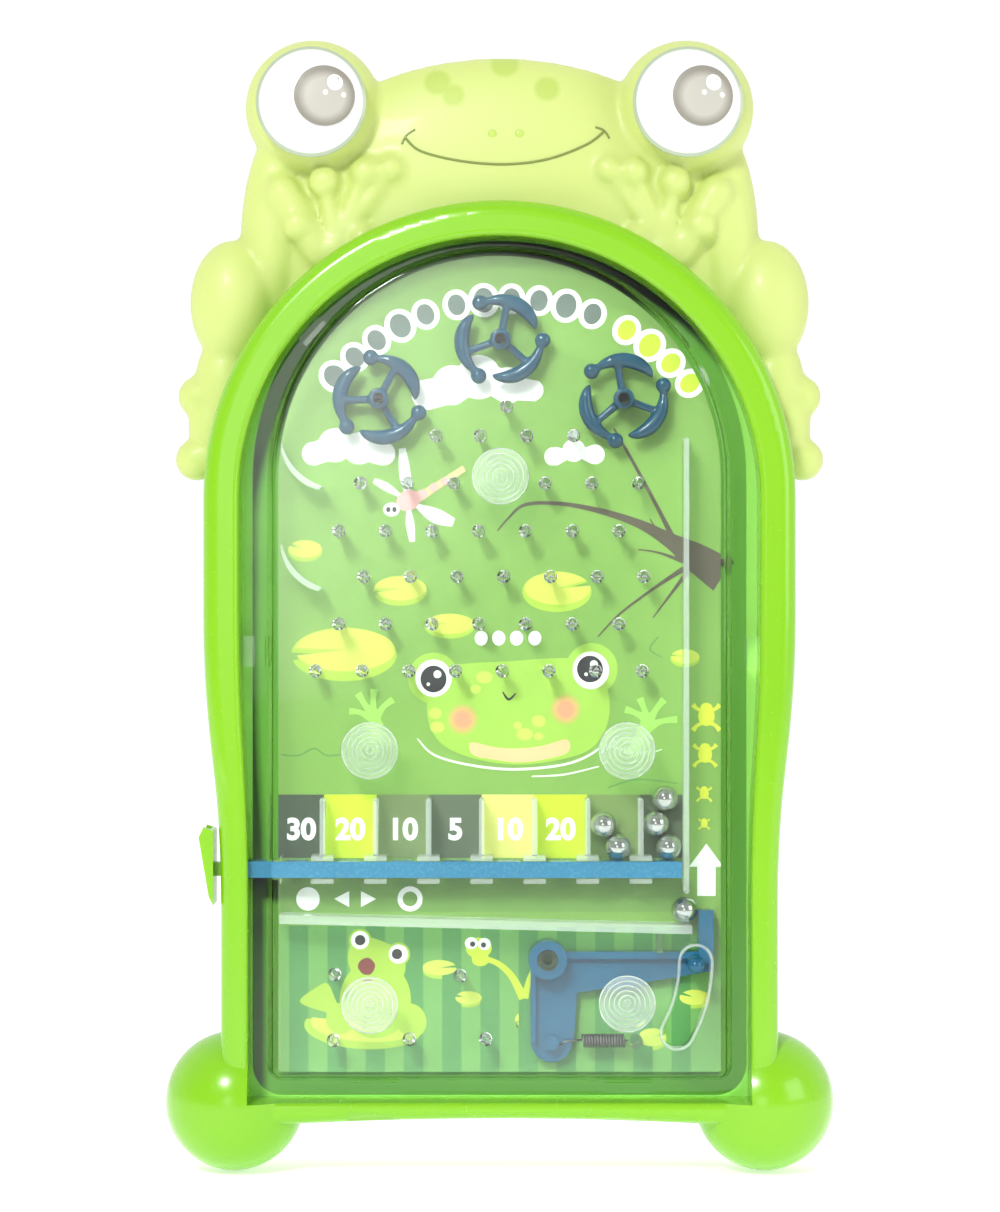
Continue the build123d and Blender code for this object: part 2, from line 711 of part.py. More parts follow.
# ---- return spring: the coil's envelope and its two end hooks --------------------------------------
spring_y = crank_back_y - crank_plate_t - 1.3
with BuildPart() as return_spring:
    coil_plane = Plane(origin=(pivot_x + 7.7, spring_y, pin_z + 0.4), x_dir=(0, 1, 0), z_dir=(1, 0, 0))
    with BuildSketch(coil_plane):
        Circle(spring_r)
    extrude(amount=spring_coil_l)
    hook_plane = Plane(origin=(pin_x + 1.8, spring_y, pin_z + 0.4), x_dir=(0, 1, 0), z_dir=(1, 0, 0))
    with BuildSketch(hook_plane):
        Circle(spring_wire / 2)
    extrude(amount=spring_x - 1.6 - pin_x - 1.8)
keep(return_spring, "return_spring")

# ---- gate bar: a thin web in front, with teeth that close the drop gaps ------------------------------
gate_front_y = roof_y + 0.3
gate_right_x = lane_x - 1.0
gate_end_x = -cover_half - gate_end_l
with BuildPart() as gate_slider:
    with BuildSketch(front_plane(gate_front_y + gate_web_t)):
        with Locations(((gate_end_x + gate_right_x) / 2, gate_z)):
            Rectangle(gate_right_x - gate_end_x, gate_h)
    extrude(amount=gate_web_t)
    with BuildSketch(front_plane(rib_y - 0.2)):
        for x in divider_xs:
            with Locations((x - pocket_pitch / 2, gate_z)):
                Rectangle(gate_tooth_w, gate_h)
        with Locations((divider_xs[-1] + pocket_pitch / 2 - 0.6, gate_z)):
            Rectangle(gate_tooth_w, gate_h)
        with Locations((gate_end_x + 2.0, gate_z)):
            Rectangle(4.0, gate_h)
    extrude(amount=rib_y - 0.2 - gate_front_y)
keep(gate_slider, "gate_slider")

# ---- green pull for the gate: stem through the frame's side, hollow thumb wedge outside ---------------
pull_in_x = -waist_half - 1.7
pull_out_x = pull_in_x - 3.0
pull_y = (gate_front_y + rib_y) / 2
with BuildPart() as gate_pull:
    with Locations(((gate_end_x + pull_in_x) / 2, pull_y, gate_z)):
        Box(gate_end_x - pull_in_x, 4.0, gate_h - 0.6)
    with BuildSketch(front_plane(pull_y + 5.5)):
        with BuildLine():
            Polyline(
                (pull_in_x, gate_z + 9.0),
                (pull_in_x, gate_z - 8.0),
                (pull_in_x - 1.0, gate_z - 6.0),
                (pull_out_x - 0.3, gate_z + 7.5),
                (pull_out_x + 0.8, gate_z + 9.8),
                close=True,
            )
        make_face()
    extrude(amount=11.0)
    with Locations((pull_in_x - 1.7, pull_y, gate_z + 8.0)):
        Box(1.8, 8.0, 8.0, mode=Mode.SUBTRACT)
keep(gate_pull, "gate_pull")

# ---- steel balls ------------------------------------------------------------------------------------
floor_rest_z = gate_z + gate_h / 2 + ball_d / 2 + touch


def stack_rise(aside, gap):
    """How far a ball lies above the one under it, when it lies that far aside and gap apart."""
    return ((ball_d + gap) ** 2 - aside**2) ** 0.5


seventh_x = divider_xs[-1] - pocket_pitch / 2 - 0.7
seventh_aside = pocket_pitch - rib_t - ball_d - 1.6
eighth_low_x = lane_x - rib_t / 2 - ball_d / 2 - 0.3
eighth_mid_x = divider_xs[-1] + rib_t / 2 + ball_d / 2 + 0.1
eighth_top_x = eighth_low_x - 0.8
eighth_mid_z = floor_rest_z + stack_rise(eighth_low_x - eighth_mid_x, 0.0384)
ball_places = {
    "ball_at_launcher": [(striker_x - ball_d / 2 - touch, ramp_right_z + ball_d / 2 + 0.2)],
    "balls_in_seventh_pocket": [
        (seventh_x + seventh_aside / 2, floor_rest_z),
        (seventh_x - seventh_aside / 2, floor_rest_z + stack_rise(seventh_aside, 0.0745)),
    ],
    "balls_in_eighth_pocket": [
        (eighth_low_x, floor_rest_z),
        (eighth_mid_x, eighth_mid_z),
        (eighth_top_x, eighth_mid_z + stack_rise(eighth_top_x - eighth_mid_x, 0.0879)),
    ],
}
for name, places in ball_places.items():
    with BuildPart() as balls:
        with Locations(*[(x, ball_y, z) for x, z in places]):
            Sphere(ball_d / 2)
    keep(balls, name)

# ---- frog figure: a front and a back shell that clasp the top of the frame ---------------------------


def frog_outline(inset):
    """Faces of the frog's outline in the open sketch, drawn in by inset, clear of the frame."""
    with Locations((0, head_z)):
        Ellipse(head_rx - inset, head_rz - inset)
    for side in (-1, 1):
        with Locations((side * eye_x, eye_z)):
            Circle(eye_ring_r - inset)
        with Locations((side * thigh_x, thigh_z)):
            Ellipse(thigh_rx - inset, thigh_rz - inset)
        for toe_x, toe_z in toe_places:
            with Locations((side * toe_x, toe_z)):
                Circle(toe_r - inset)
        with Locations((side * foot_pad_x, foot_pad_z)):
            RectangleRounded(foot_pad_w - 2 * inset, foot_pad_l - 2 * inset, 2.0)
    with BuildLine() as frame_side:
        arch_outline(frame_half + 0.1 + inset, waist_half + inset, bar_low_z, bar_crown_z)
    make_face(frame_side.edges(), mode=Mode.SUBTRACT)


with BuildPart() as frog_front_shell:
    with BuildSketch(front_plane(frog_seam_y)):
        frog_outline(0)
    extrude(amount=frog_seam_y - frog_front_y)
    with BuildSketch(front_plane(frog_seam_y)):
        for side in (-1, 1):
            with Locations((side * thigh_x, thigh_z)):
                Ellipse(thigh_rx, thigh_rz)
        with BuildLine():
            arch_outline(frame_half + 0.1, waist_half, bar_low_z, bar_crown_z)
        make_face(mode=Mode.SUBTRACT)
    extrude(amount=frog_seam_y - frog_front_y + thigh_rise)
    with BuildSketch(front_plane(frog_front_y)):
        with Locations((eye_x, eye_z), (-eye_x, eye_z)):
            Circle(eye_ring_r)
    extrude(amount=frog_front_y - eye_ring_y)
    front_edges = frog_front_shell.faces().filter_by(Axis.Y).group_by(Axis.Y)[0].edges()
    fillet(front_edges, 2.4)
    # finger pads in relief on both sides of the head
    for side in (-1, 1):
        for pad_x, pad_z, pad_r in finger_pads:
            with Locations((side * pad_x, frog_front_y, pad_z)):
                Sphere(pad_r)
        for toe_x, toe_z in toe_places:
            with Locations((side * toe_x, frog_front_y + toe_r * 0.6, toe_z)):
                Sphere(toe_r)
    with BuildSketch(front_plane(frog_back_y)):
        with BuildLine():
            arch_outline(frame_half + 0.1, waist_half, bar_low_z, bar_crown_z)
        make_face()
    extrude(amount=frog_back_y - 2 * frog_front_y, mode=Mode.SUBTRACT)
    # seats for the eye whites
    with BuildSketch(front_plane(eye_ring_y)):
        with Locations((eye_x, eye_z), (-eye_x, eye_z)):
            Circle(eye_white_r + 0.1)
    extrude(amount=-eye_seat_t, mode=Mode.SUBTRACT)
    with BuildSketch(front_plane(frog_seam_y)):
        frog_outline(frog_wall)
    extrude(amount=frog_seam_y - frog_front_y - frog_wall, mode=Mode.SUBTRACT)
keep(frog_front_shell, "frog_front_shell")

with BuildPart() as frog_back_shell:
    with BuildSketch(front_plane(frog_back_y)):
        frog_outline(0)
    extrude(amount=frog_back_y - frog_seam_y)
    with BuildSketch(front_plane(frog_back_y - frog_wall)):
        frog_outline(frog_wall)
    extrude(amount=frog_back_y - frog_wall - frog_seam_y, mode=Mode.SUBTRACT)
keep(frog_back_shell, "frog_back_shell")

# ---- eyes: domed whites seated in the rings, and thin pupils on them -----------------------------------
dome_r = (eye_white_r**2 + eye_white_rise**2) / (2 * eye_white_rise)
dome_y = eye_ring_y - eye_white_rise + dome_r
with BuildPart() as eye_whites:
    with BuildSketch(front_plane(eye_ring_y + eye_seat_t)):
        with Locations((eye_x, eye_z), (-eye_x, eye_z)):
            Circle(eye_white_r)
    extrude(amount=eye_seat_t + eye_white_rise + 1)
    with BuildPart(mode=Mode.PRIVATE) as white_limit:
        with Locations((eye_x, dome_y, eye_z), (-eye_x, dome_y, eye_z)):
            Sphere(dome_r)
    add(white_limit.part, mode=Mode.INTERSECT)
keep(eye_whites, "eye_whites")

with BuildPart() as eye_pupils:
    for side in (-1, 1):
        with BuildSketch(front_plane(eye_ring_y)):
            with Locations((side * eye_x + pupil_dx, eye_z + 1.0)):
                Circle(pupil_r)
        extrude(amount=eye_white_rise + 3)
    with Locations((eye_x, dome_y, eye_z), (-eye_x, dome_y, eye_z)):
        Sphere(dome_r, mode=Mode.SUBTRACT)
    with BuildPart(mode=Mode.PRIVATE) as pupil_limit:
        with Locations((eye_x, dome_y, eye_z), (-eye_x, dome_y, eye_z)):
            Sphere(dome_r + pupil_t)
    add(pupil_limit.part, mode=Mode.INTERSECT)
keep(eye_pupils, "eye_pupils")
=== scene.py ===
import json
import math

import bpy
from mathutils import Matrix, Vector


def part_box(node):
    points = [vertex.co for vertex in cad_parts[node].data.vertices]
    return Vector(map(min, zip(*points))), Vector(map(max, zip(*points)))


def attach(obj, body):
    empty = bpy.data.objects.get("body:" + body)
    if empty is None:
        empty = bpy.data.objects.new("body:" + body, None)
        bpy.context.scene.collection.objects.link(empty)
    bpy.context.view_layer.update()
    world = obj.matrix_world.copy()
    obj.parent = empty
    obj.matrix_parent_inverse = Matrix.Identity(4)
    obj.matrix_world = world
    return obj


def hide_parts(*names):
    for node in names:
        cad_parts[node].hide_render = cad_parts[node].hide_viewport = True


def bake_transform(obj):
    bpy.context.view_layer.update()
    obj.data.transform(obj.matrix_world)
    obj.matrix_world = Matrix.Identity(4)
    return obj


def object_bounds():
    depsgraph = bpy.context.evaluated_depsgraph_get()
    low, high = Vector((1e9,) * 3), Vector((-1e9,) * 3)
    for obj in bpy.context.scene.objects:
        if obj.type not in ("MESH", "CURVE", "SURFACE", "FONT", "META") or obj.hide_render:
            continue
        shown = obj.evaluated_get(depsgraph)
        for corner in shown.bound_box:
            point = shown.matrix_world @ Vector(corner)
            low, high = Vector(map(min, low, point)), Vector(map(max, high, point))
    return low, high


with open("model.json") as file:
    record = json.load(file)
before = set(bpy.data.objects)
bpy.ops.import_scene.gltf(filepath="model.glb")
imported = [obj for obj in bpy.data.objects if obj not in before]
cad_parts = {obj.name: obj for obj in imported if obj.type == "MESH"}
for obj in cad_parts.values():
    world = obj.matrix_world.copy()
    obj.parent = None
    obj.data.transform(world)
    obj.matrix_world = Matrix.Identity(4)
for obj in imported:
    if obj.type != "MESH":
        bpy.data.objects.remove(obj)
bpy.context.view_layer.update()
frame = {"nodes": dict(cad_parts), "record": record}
nodes = frame["nodes"]
MM = 0.001

# HOUSING HALVES: the round arch with its two ball feet, a front and a rear half of lime
# ABS moulded in polished tools and screwed together at the parting line behind the arch.
# The little lug on the gate bar's end is moulded in the same lime.


def paint(red, green, blue):
    """A colour as a painter's 0 to 255 mix, turned into the linear values a shader takes."""
    shares = [value / 255 for value in (red, green, blue)]
    return [s / 12.92 if s < 0.04 else ((s + 0.055) / 1.055) ** 2.4 for s in shares] + [1.0]


def preset(node, values):
    """Sets a shader node's own sockets, by their names or numbers."""
    for socket, value in values.items():
        node.inputs[socket].default_value = value


def make_skin_group():
    """Skin of a moulded or printed face: slow mottling, fine grain and thin random scuffs."""
    group = bpy.data.node_groups.new("skin_grain", "ShaderNodeTree")
    for name in ("Mottle Size", "Grain Size"):
        group.interface.new_socket(name, in_out="INPUT", socket_type="NodeSocketFloat")
    for name in ("Mottle", "Grain", "Scuffs"):
        group.interface.new_socket(name, in_out="OUTPUT", socket_type="NodeSocketFloat")
    inlet = group.nodes.new("NodeGroupInput")
    outlet = group.nodes.new("NodeGroupOutput")
    place = group.nodes.new("ShaderNodeTexCoord")
    for name, detail in (("Mottle", 2.0), ("Grain", 4.0)):
        noise = group.nodes.new("ShaderNodeTexNoise")
        preset(noise, {"Detail": detail})
        group.links.new(place.outputs["Object"], noise.inputs["Vector"])
        group.links.new(inlet.outputs[f"{name} Size"], noise.inputs["Scale"])
        group.links.new(noise.outputs["Fac"], outlet.inputs[name])
    stretch = group.nodes.new("ShaderNodeMapping")
    preset(stretch, {"Rotation": (0.4, 0.9, 0.3), "Scale": (900.0, 60.0, 500.0)})
    lines = group.nodes.new("ShaderNodeTexNoise")
    preset(lines, {"Detail": 1.0, "Scale": 1.0})
    thin = group.nodes.new("ShaderNodeMapRange")
    preset(thin, {"From Min": 0.69, "From Max": 0.82})
    group.links.new(place.outputs["Object"], stretch.inputs["Vector"])
    group.links.new(stretch.outputs["Vector"], lines.inputs["Vector"])
    group.links.new(lines.outputs["Fac"], thin.inputs["Value"])
    group.links.new(thin.outputs["Result"], outlet.inputs["Scuffs"])
    return group


skin_grain = make_skin_group()


def skinned(name, mottle, grain):
    """A new material, its nodes, links and shader, and a skin group that waits to be wired."""
    material = bpy.data.materials.new(name)
    material.use_nodes = True
    made = material.node_tree.nodes
    skin = made.new("ShaderNodeGroup")
    skin.node_tree = skin_grain
    preset(skin, {"Mottle Size": mottle, "Grain Size": grain})
    return material, made, material.node_tree.links, made["Principled BSDF"], skin


def mottled(made, links, shader, skin, deep, bright, relief, relief_depth):
    """Mottles two near shades into the shader's colour and raises the grain a little."""
    shade = made.new("ShaderNodeMix")
    shade.data_type = "RGBA"
    preset(shade, {6: paint(*deep), 7: paint(*bright)})
    surface = made.new("ShaderNodeBump")
    preset(surface, {"Strength": relief, "Distance": relief_depth * MM})
    links.new(skin.outputs["Mottle"], shade.inputs[0])
    links.new(shade.outputs[2], shader.inputs["Base Color"])
    links.new(skin.outputs["Grain"], surface.inputs["Height"])
    links.new(surface.outputs["Normal"], shader.inputs["Normal"])


def moulded_plastic(name, deep, bright, gloss, mottle=22.0, grain=1400.0, relief=0.04, glow=0.0,
                    lacquer=0.35):
    """Opaque moulded plastic: two near shades mottled together, with fine grain in its gloss."""
    material, made, links, shader, skin = skinned(name, mottle, grain)
    mottled(made, links, shader, skin, deep, bright, relief, 0.02)
    rough = made.new("ShaderNodeMapRange")
    preset(rough, {"To Min": gloss * 0.75, "To Max": gloss * 1.3})
    worn = made.new("ShaderNodeMath")
    worn.operation = "MULTIPLY_ADD"
    preset(worn, {1: 0.05})
    links.new(skin.outputs["Grain"], rough.inputs["Value"])
    links.new(skin.outputs["Scuffs"], worn.inputs[0])
    links.new(rough.outputs["Result"], worn.inputs[2])
    links.new(worn.outputs["Value"], shader.inputs["Roughness"])
    preset(shader, {"Coat Weight": lacquer, "Coat Roughness": 0.1})
    if glow:
        preset(shader, {
            "Subsurface Weight": glow, "Subsurface Radius": (1.0, 1.0, 0.5),
            "Subsurface Scale": 4 * MM,
        })
    return material


def finish_with(material, piece):
    """Gives a piece one finish in place of whatever it had."""
    piece.data.materials.clear()
    piece.data.materials.append(material)


def repaint(material, *names):
    """Gives carried pieces one finish in place of what they came with."""
    for name in names:
        finish_with(material, nodes[name])


lime = moulded_plastic("lime_abs", (122, 190, 8), (140, 204, 18), 0.24, 14.0, 900.0, 0.02, 0.1)
repaint(lime, "front_frame", "rear_shell", "gate_pull")

# TRAY AND ITS SCREWS: the shallow playfield tray is a third green moulding, paler than the
# housing, that drops in behind the clear cover. Six zinc-plated screws hold it from behind.
tray_green = moulded_plastic("tray_abs", (142, 214, 86), (160, 226, 98), 0.36)
repaint(tray_green, "playfield_tray")


def bare_metal(name, dull, clean, gloss, grain):
    """Uncoated metal: fine grain moves its shade and its gloss, thin scuffs roughen it."""
    material, made, links, shader, skin = skinned(name, 260.0, grain)
    mottled(made, links, shader, skin, dull, clean, 0.15, 0.01)
    preset(shader, {"Metallic": 1.0})
    rough = made.new("ShaderNodeMath")
    rough.operation = "MULTIPLY_ADD"
    preset(rough, {1: 0.25, 2: gloss})
    links.new(skin.outputs["Scuffs"], rough.inputs[0])
    links.new(rough.outputs["Value"], shader.inputs["Roughness"])
    return material


zinc = bare_metal("zinc_plate", (150, 150, 145), (205, 205, 200), 0.3, 2600.0)
repaint(zinc, "tray_screws")

# PRINTED CARD: a sheet of card laid in the tray, printed in flat inks with a pond scene.
# Each ink is one thin film, laid over the one before; the score boxes stand between ribs.
card_low, card_high = map(Vector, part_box("playfield_card"))
card_x = (card_low.x + card_high.x) / 2
ink_t = 0.014 * MM
layer_step = 0.02 * MM
overlap_step = 0.0018 * MM


def make_mark_group():
    """A round mark: 1 inside Radius of Centre seen from the front, fading out over Soft."""
    group = bpy.data.node_groups.new("round_mark", "ShaderNodeTree")
    group.interface.new_socket("Centre", in_out="INPUT", socket_type="NodeSocketVector")
    for name in ("Radius", "Soft"):
        group.interface.new_socket(name, in_out="INPUT", socket_type="NodeSocketFloat")
    group.interface.new_socket("Mask", in_out="OUTPUT", socket_type="NodeSocketFloat")
    inlet = group.nodes.new("NodeGroupInput")
    outlet = group.nodes.new("NodeGroupOutput")
    place = group.nodes.new("ShaderNodeTexCoord")
    flat = group.nodes.new("ShaderNodeVectorMath")
    flat.operation = "MULTIPLY"
    preset(flat, {1: (1, 0, 1)})
    away = group.nodes.new("ShaderNodeVectorMath")
    away.operation = "DISTANCE"
    outer = group.nodes.new("ShaderNodeMath")
    inside = group.nodes.new("ShaderNodeMapRange")
    preset(inside, {"To Min": 1.0, "To Max": 0.0})
    group.links.new(place.outputs["Object"], flat.inputs[0])
    group.links.new(flat.outputs["Vector"], away.inputs[0])
    group.links.new(inlet.outputs["Centre"], away.inputs[1])
    group.links.new(inlet.outputs["Radius"], outer.inputs[0])
    group.links.new(inlet.outputs["Soft"], outer.inputs[1])
    group.links.new(away.outputs["Value"], inside.inputs["Value"])
    group.links.new(inlet.outputs["Radius"], inside.inputs["From Min"])
    group.links.new(outer.outputs["Value"], inside.inputs["From Max"])
    group.links.new(inside.outputs["Result"], outlet.inputs["Mask"])
    return group


round_mark = make_mark_group()


def add_marks(material, colour, spots, soft):
    """Soft round marks of one colour over a material's own: each spot is (x, z, radius) in mm."""
    made, links = material.node_tree.nodes, material.node_tree.links
    shader = made["Principled BSDF"]
    for x, z, radius in spots:
        below = shader.inputs["Base Color"].links[0].from_socket
        mark = made.new("ShaderNodeGroup")
        mark.node_tree = round_mark
        preset(mark, {"Centre": (x * MM, 0, z * MM), "Radius": radius * MM, "Soft": soft * MM})
        over = made.new("ShaderNodeMix")
        over.data_type = "RGBA"
        preset(over, {7: paint(*colour)})
        links.new(mark.outputs["Mask"], over.inputs[0])
        links.new(below, over.inputs[6])
        links.new(over.outputs[2], shader.inputs["Base Color"])


def ink(name, colour, spread=6):
    """A printing ink: flat colour with the small unevenness of a litho print, satin dry."""
    deep = [max(0, value - spread) for value in colour]
    bright = [min(255, value + spread) for value in colour]
    return moulded_plastic(f"ink_{name}", deep, bright, 0.5, 90.0, 5200.0, 0.25, lacquer=0.0)


def smooth_run(points, closed, steps=5):
    """A smooth line through points, sampled a few times between each two of them."""
    count = len(points)
    out = []
    for i in range(count if closed else count - 1):
        places = [i + k if not closed else (i + k) % count for k in (-1, 0, 1, 2)]
        near = [points[min(max(k, 0), count - 1)] for k in places]
        for step in range(steps):
            t = step / steps
            weights = (
                (-t + 2 * t**2 - t**3) / 2,
                (2 - 5 * t**2 + 3 * t**3) / 2,
                (t + 4 * t**2 - 3 * t**3) / 2,
                (t**3 - t**2) / 2,
            )
            out.append([sum(w * v for w, v in zip(weights, values)) for values in zip(*near)])
    return out if closed else out + [list(points[-1])]


def rounded(points):
    """A closed outline smoothed through its points."""
    return [smooth_run(points, True)]


def oval(centre, rx, rz, turn=0.0, notch=None, open_by=24.0):
    """An oval outline in mm; a notch angle cuts a narrow wedge to the middle, as in a lily pad."""
    start, end = 0.0, 360.0
    if notch is not None:
        start, end = notch + open_by / 2, notch + 360 - open_by / 2
    count = 32
    tilt = math.radians(turn)
    out = []
    for i in range(count + (notch is not None)):
        angle = math.radians(start + (end - start) * i / count)
        x, z = rx * math.cos(angle), rz * math.sin(angle)
        out.append((
            centre[0] + x * math.cos(tilt) - z * math.sin(tilt),
            centre[1] + x * math.sin(tilt) + z * math.cos(tilt),
        ))
    return [out + ([tuple(centre)] if notch is not None else [])]


def stroke(points, widths):
    """The outline of a brush line through points, as wide at each as widths says, in mm."""
    line = smooth_run([(*point, width) for point, width in zip(points, widths)], False)
    sides = [[], []]
    for i, (x, z, width) in enumerate(line):
        ahead, behind = line[min(i + 1, len(line) - 1)], line[max(i - 1, 0)]
        along = math.hypot(ahead[0] - behind[0], ahead[1] - behind[1]) or 1.0
        nx, nz = -(ahead[1] - behind[1]) / along, (ahead[0] - behind[0]) / along
        half = max(width, 0.12) / 2
        sides[0].append((x + nx * half, z + nz * half))
        sides[1].append((x - nx * half, z - nz * half))
    return [sides[0] + sides[1][::-1]]


def puffs(circles, low):
    """A cloud's outline round circles of (x, z, radius), cut flat along its low edge."""
    cx = sum(c[0] for c in circles) / len(circles)
    cz = sum(c[1] for c in circles) / len(circles)
    out = []
    for i in range(72):
        angle = math.radians(5 * i)
        dx, dz = math.cos(angle), math.sin(angle)
        reach = 0.5
        for x, z, radius in circles:
            along = (x - cx) * dx + (z - cz) * dz
            gap = radius**2 - ((x - cx) ** 2 + (z - cz) ** 2 - along**2)
            if gap > 0:
                reach = max(reach, along + math.sqrt(gap))
        out.append((cx + reach * dx, max(cz + reach * dz, low)))
    return [out]


def box_outline(x0, z0, x1, z1):
    """A plain rectangle's outline."""
    return [[(x0, z0), (x1, z0), (x1, z1), (x0, z1)]]


def lone(*objects):
    """Deselects everything, then selects only these and makes the first one active."""
    bpy.ops.object.select_all(action="DESELECT")
    for thing in objects:
        thing.select_set(True)
    bpy.context.view_layer.objects.active = objects[0]


def stood_in(name, data):
    """Stands a mesh, curve, lamp or camera in the scene as an object of that name."""
    thing = bpy.data.objects.new(name, data)
    bpy.context.scene.collection.objects.link(thing)
    return thing


def made_one(name, parts):
    """Joins parts into one mesh piece with merged points and outward faces."""
    lone(*parts)
    bpy.ops.object.convert(target="MESH")
    if len(parts) > 1:
        bpy.ops.object.join()
    piece = bpy.context.view_layer.objects.active
    piece.name = piece.data.name = name
    bpy.ops.object.transform_apply(location=True, rotation=True, scale=True)
    bpy.ops.object.mode_set(mode="EDIT")
    bpy.ops.mesh.select_all(action="SELECT")
    bpy.ops.mesh.remove_doubles(threshold=0.0005 * MM)
    bpy.ops.mesh.normals_make_consistent(inside=False)
    bpy.ops.object.mode_set(mode="OBJECT")
    return piece


def lay_on_card(piece, layer, material):
    """Stands a flat mesh up against the card at its ink layer; it belongs to the housing."""
    depth = card_low.y - layer * layer_step
    piece.data.transform(
        Matrix.Translation((card_x, depth, card_low.z)) @ Matrix.Rotation(math.radians(90), 4, "X")
    )
    finish_with(material, piece)
    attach(piece, "housing")


def print_ink(name, shapes, layer, material):
    """Closed flat shapes of one colour, filled and laid on the card as one film of ink."""
    parts = []
    for i, shape in enumerate(shapes):
        flat = bpy.data.curves.new(name, "CURVE")
        flat.dimensions, flat.fill_mode, flat.extrude = "2D", "BOTH", ink_t / 2
        for outline in shape:
            line = flat.splines.new("POLY")
            line.points.add(len(outline) - 1)
            for point, (x, z) in zip(line.points, outline):
                point.co = (x * MM, z * MM, 0, 1)
            line.use_cyclic_u = True
        parts.append(stood_in(name, flat))
        parts[-1].location.z = i % 8 * overlap_step
    lay_on_card(made_one(name, parts), layer, material)


card_green = moulded_plastic(
    "card_print", (112, 156, 66), (128, 170, 80), 0.5, 34.0, 5200.0, 0.25, lacquer=0.0)
repaint(card_green, "playfield_card")

# Sky of the pond scene: white clouds, and an arc of bubbles over them near the top edge.
# Every shape is in mm across from the card's middle and up from its low edge.
white = ink("white", (246, 250, 246), 4)
slate = ink("slate", (96, 112, 104))
yolk = ink("yellow_green", (192, 216, 44))
print_ink("print_clouds", [
    puffs([(-16.6, 156.4, 3.7), (-10.9, 158.4, 4.6), (-4.8, 160.3, 5.1),
        (1.8, 158.4, 4.2), (7.4, 157.3, 2.7)], 152.2),
    puffs([(-42.7, 142.7, 2.8), (-37.9, 144.6, 3.9), (-32.3, 143.9, 3.7),
        (-26.8, 142.7, 2.8)], 138.8),
    puffs([(12.5, 142, 2.2), (17.1, 143.4, 2.6), (21.9, 142.5, 2.3)], 140),
], 1, white)
arc_middle = (2.3, 124.3)
arc_r = 54
rim_shapes, slate_shapes, yolk_shapes = [], [], []
for i in range(15):
    angle = math.radians(138 - 6.75 * i - (2.5 if i > 10 else 0) - (1.2 if i > 4 else 0))
    spot = (arc_middle[0] + arc_r * math.cos(angle), arc_middle[1] + arc_r * math.sin(angle))
    size = 2.35 if i % 3 else 2.75
    turn = math.degrees(angle) - 90
    rim_shapes.append(oval(spot, size + 0.9, size + 1.2, turn))
    (yolk_shapes if i > 10 else slate_shapes).append(oval(spot, size * 0.86, size + 0.1, turn))
print_ink("print_bubble_rims", rim_shapes, 1.5, white)
print_ink("print_bubbles_slate", slate_shapes, 2.5, slate)
print_ink("print_bubbles_yellow", yolk_shapes, 2.5, yolk)

# Dragonfly: pale wings, a rose body and a peach tail; the dark branch comes in from the right.
wing = ink("wing_white", (226, 236, 226))
rose = ink("rose", (226, 168, 166))
peach = ink("peach", (222, 186, 138))
black = ink("black", (34, 34, 38), 3)
bark = ink("bark", (84, 78, 62))
print_ink("print_wings", [
    stroke([(-20.8, 132.1), (-21.7, 137.4), (-22.4, 143.9)], (0.6, 2.6, 1.6)),
    stroke([(-22.6, 132.8), (-25.9, 134.9), (-28.9, 136.5)], (0.6, 1.9, 1.2)),
    stroke([(-21, 130.5), (-20.6, 126.6), (-20.1, 122.4)], (0.6, 2.0, 1.2)),
    stroke([(-19.4, 130.9), (-14.8, 128.4), (-10.6, 126.8)], (0.8, 3.4, 2.0)),
], 2, wing)
print_ink("print_dragonfly_tail", [
    stroke([(-19.4, 132.1), (-14.3, 135.3), (-8.1, 139.3)], (2.2, 1.7, 1.5)),
], 3, peach)
print_ink("print_dragonfly_body", [
    oval((-21, 131.9), 2.9, 2.3, 25),
    oval((-17.8, 133.3), 1.2, 1.1), oval((-15.2, 134.9), 1.0, 1.0), oval((-12.7, 136.3), 0.9, 0.9),
], 4, rose)
print_ink("print_dragonfly_head", [oval((-24.9, 129.8), 1.9, 1.6)], 5, wing)
print_ink("print_dragonfly_eyes", [
    oval((-25.6, 129.8), 0.5, 0.6), oval((-24.2, 129.8), 0.5, 0.6),
], 6, black)
print_ink("print_branch", [
    stroke([(51.5, 114.6), (48.5, 116.6), (44.6, 119.2), (39.3, 122.6), (31.9, 126.6),
        (22.6, 129.6), (13.4, 131.2), (5.8, 130.9), (2.1, 127.9), (-0.5, 124.9)],
        (8.4, 7.6, 6.4, 3.6, 2.0, 1.3, 0.9, 0.8, 0.5, 0.3)),
    stroke([(41.1, 120.8), (36.5, 130), (31.9, 138.6), (26.3, 148.5)], (1.5, 0.9, 0.8, 0.5)),
    stroke([(43, 116.6), (35.3, 111.5), (27.7, 105.8), (22.6, 100.5)], (1.3, 0.7, 0.5, 0.3)),
    stroke([(43.4, 115.7), (39.3, 110.2), (35.3, 104.9)], (1.1, 0.6, 0.3)),
    stroke([(43, 117.6), (36.5, 119.9), (31.9, 120.6)], (1.1, 0.5, 0.3)),
    stroke([(39.3, 122.4), (36.5, 124.7), (34.6, 127.7)], (1.0, 0.5, 0.3)),
], 2, bark)

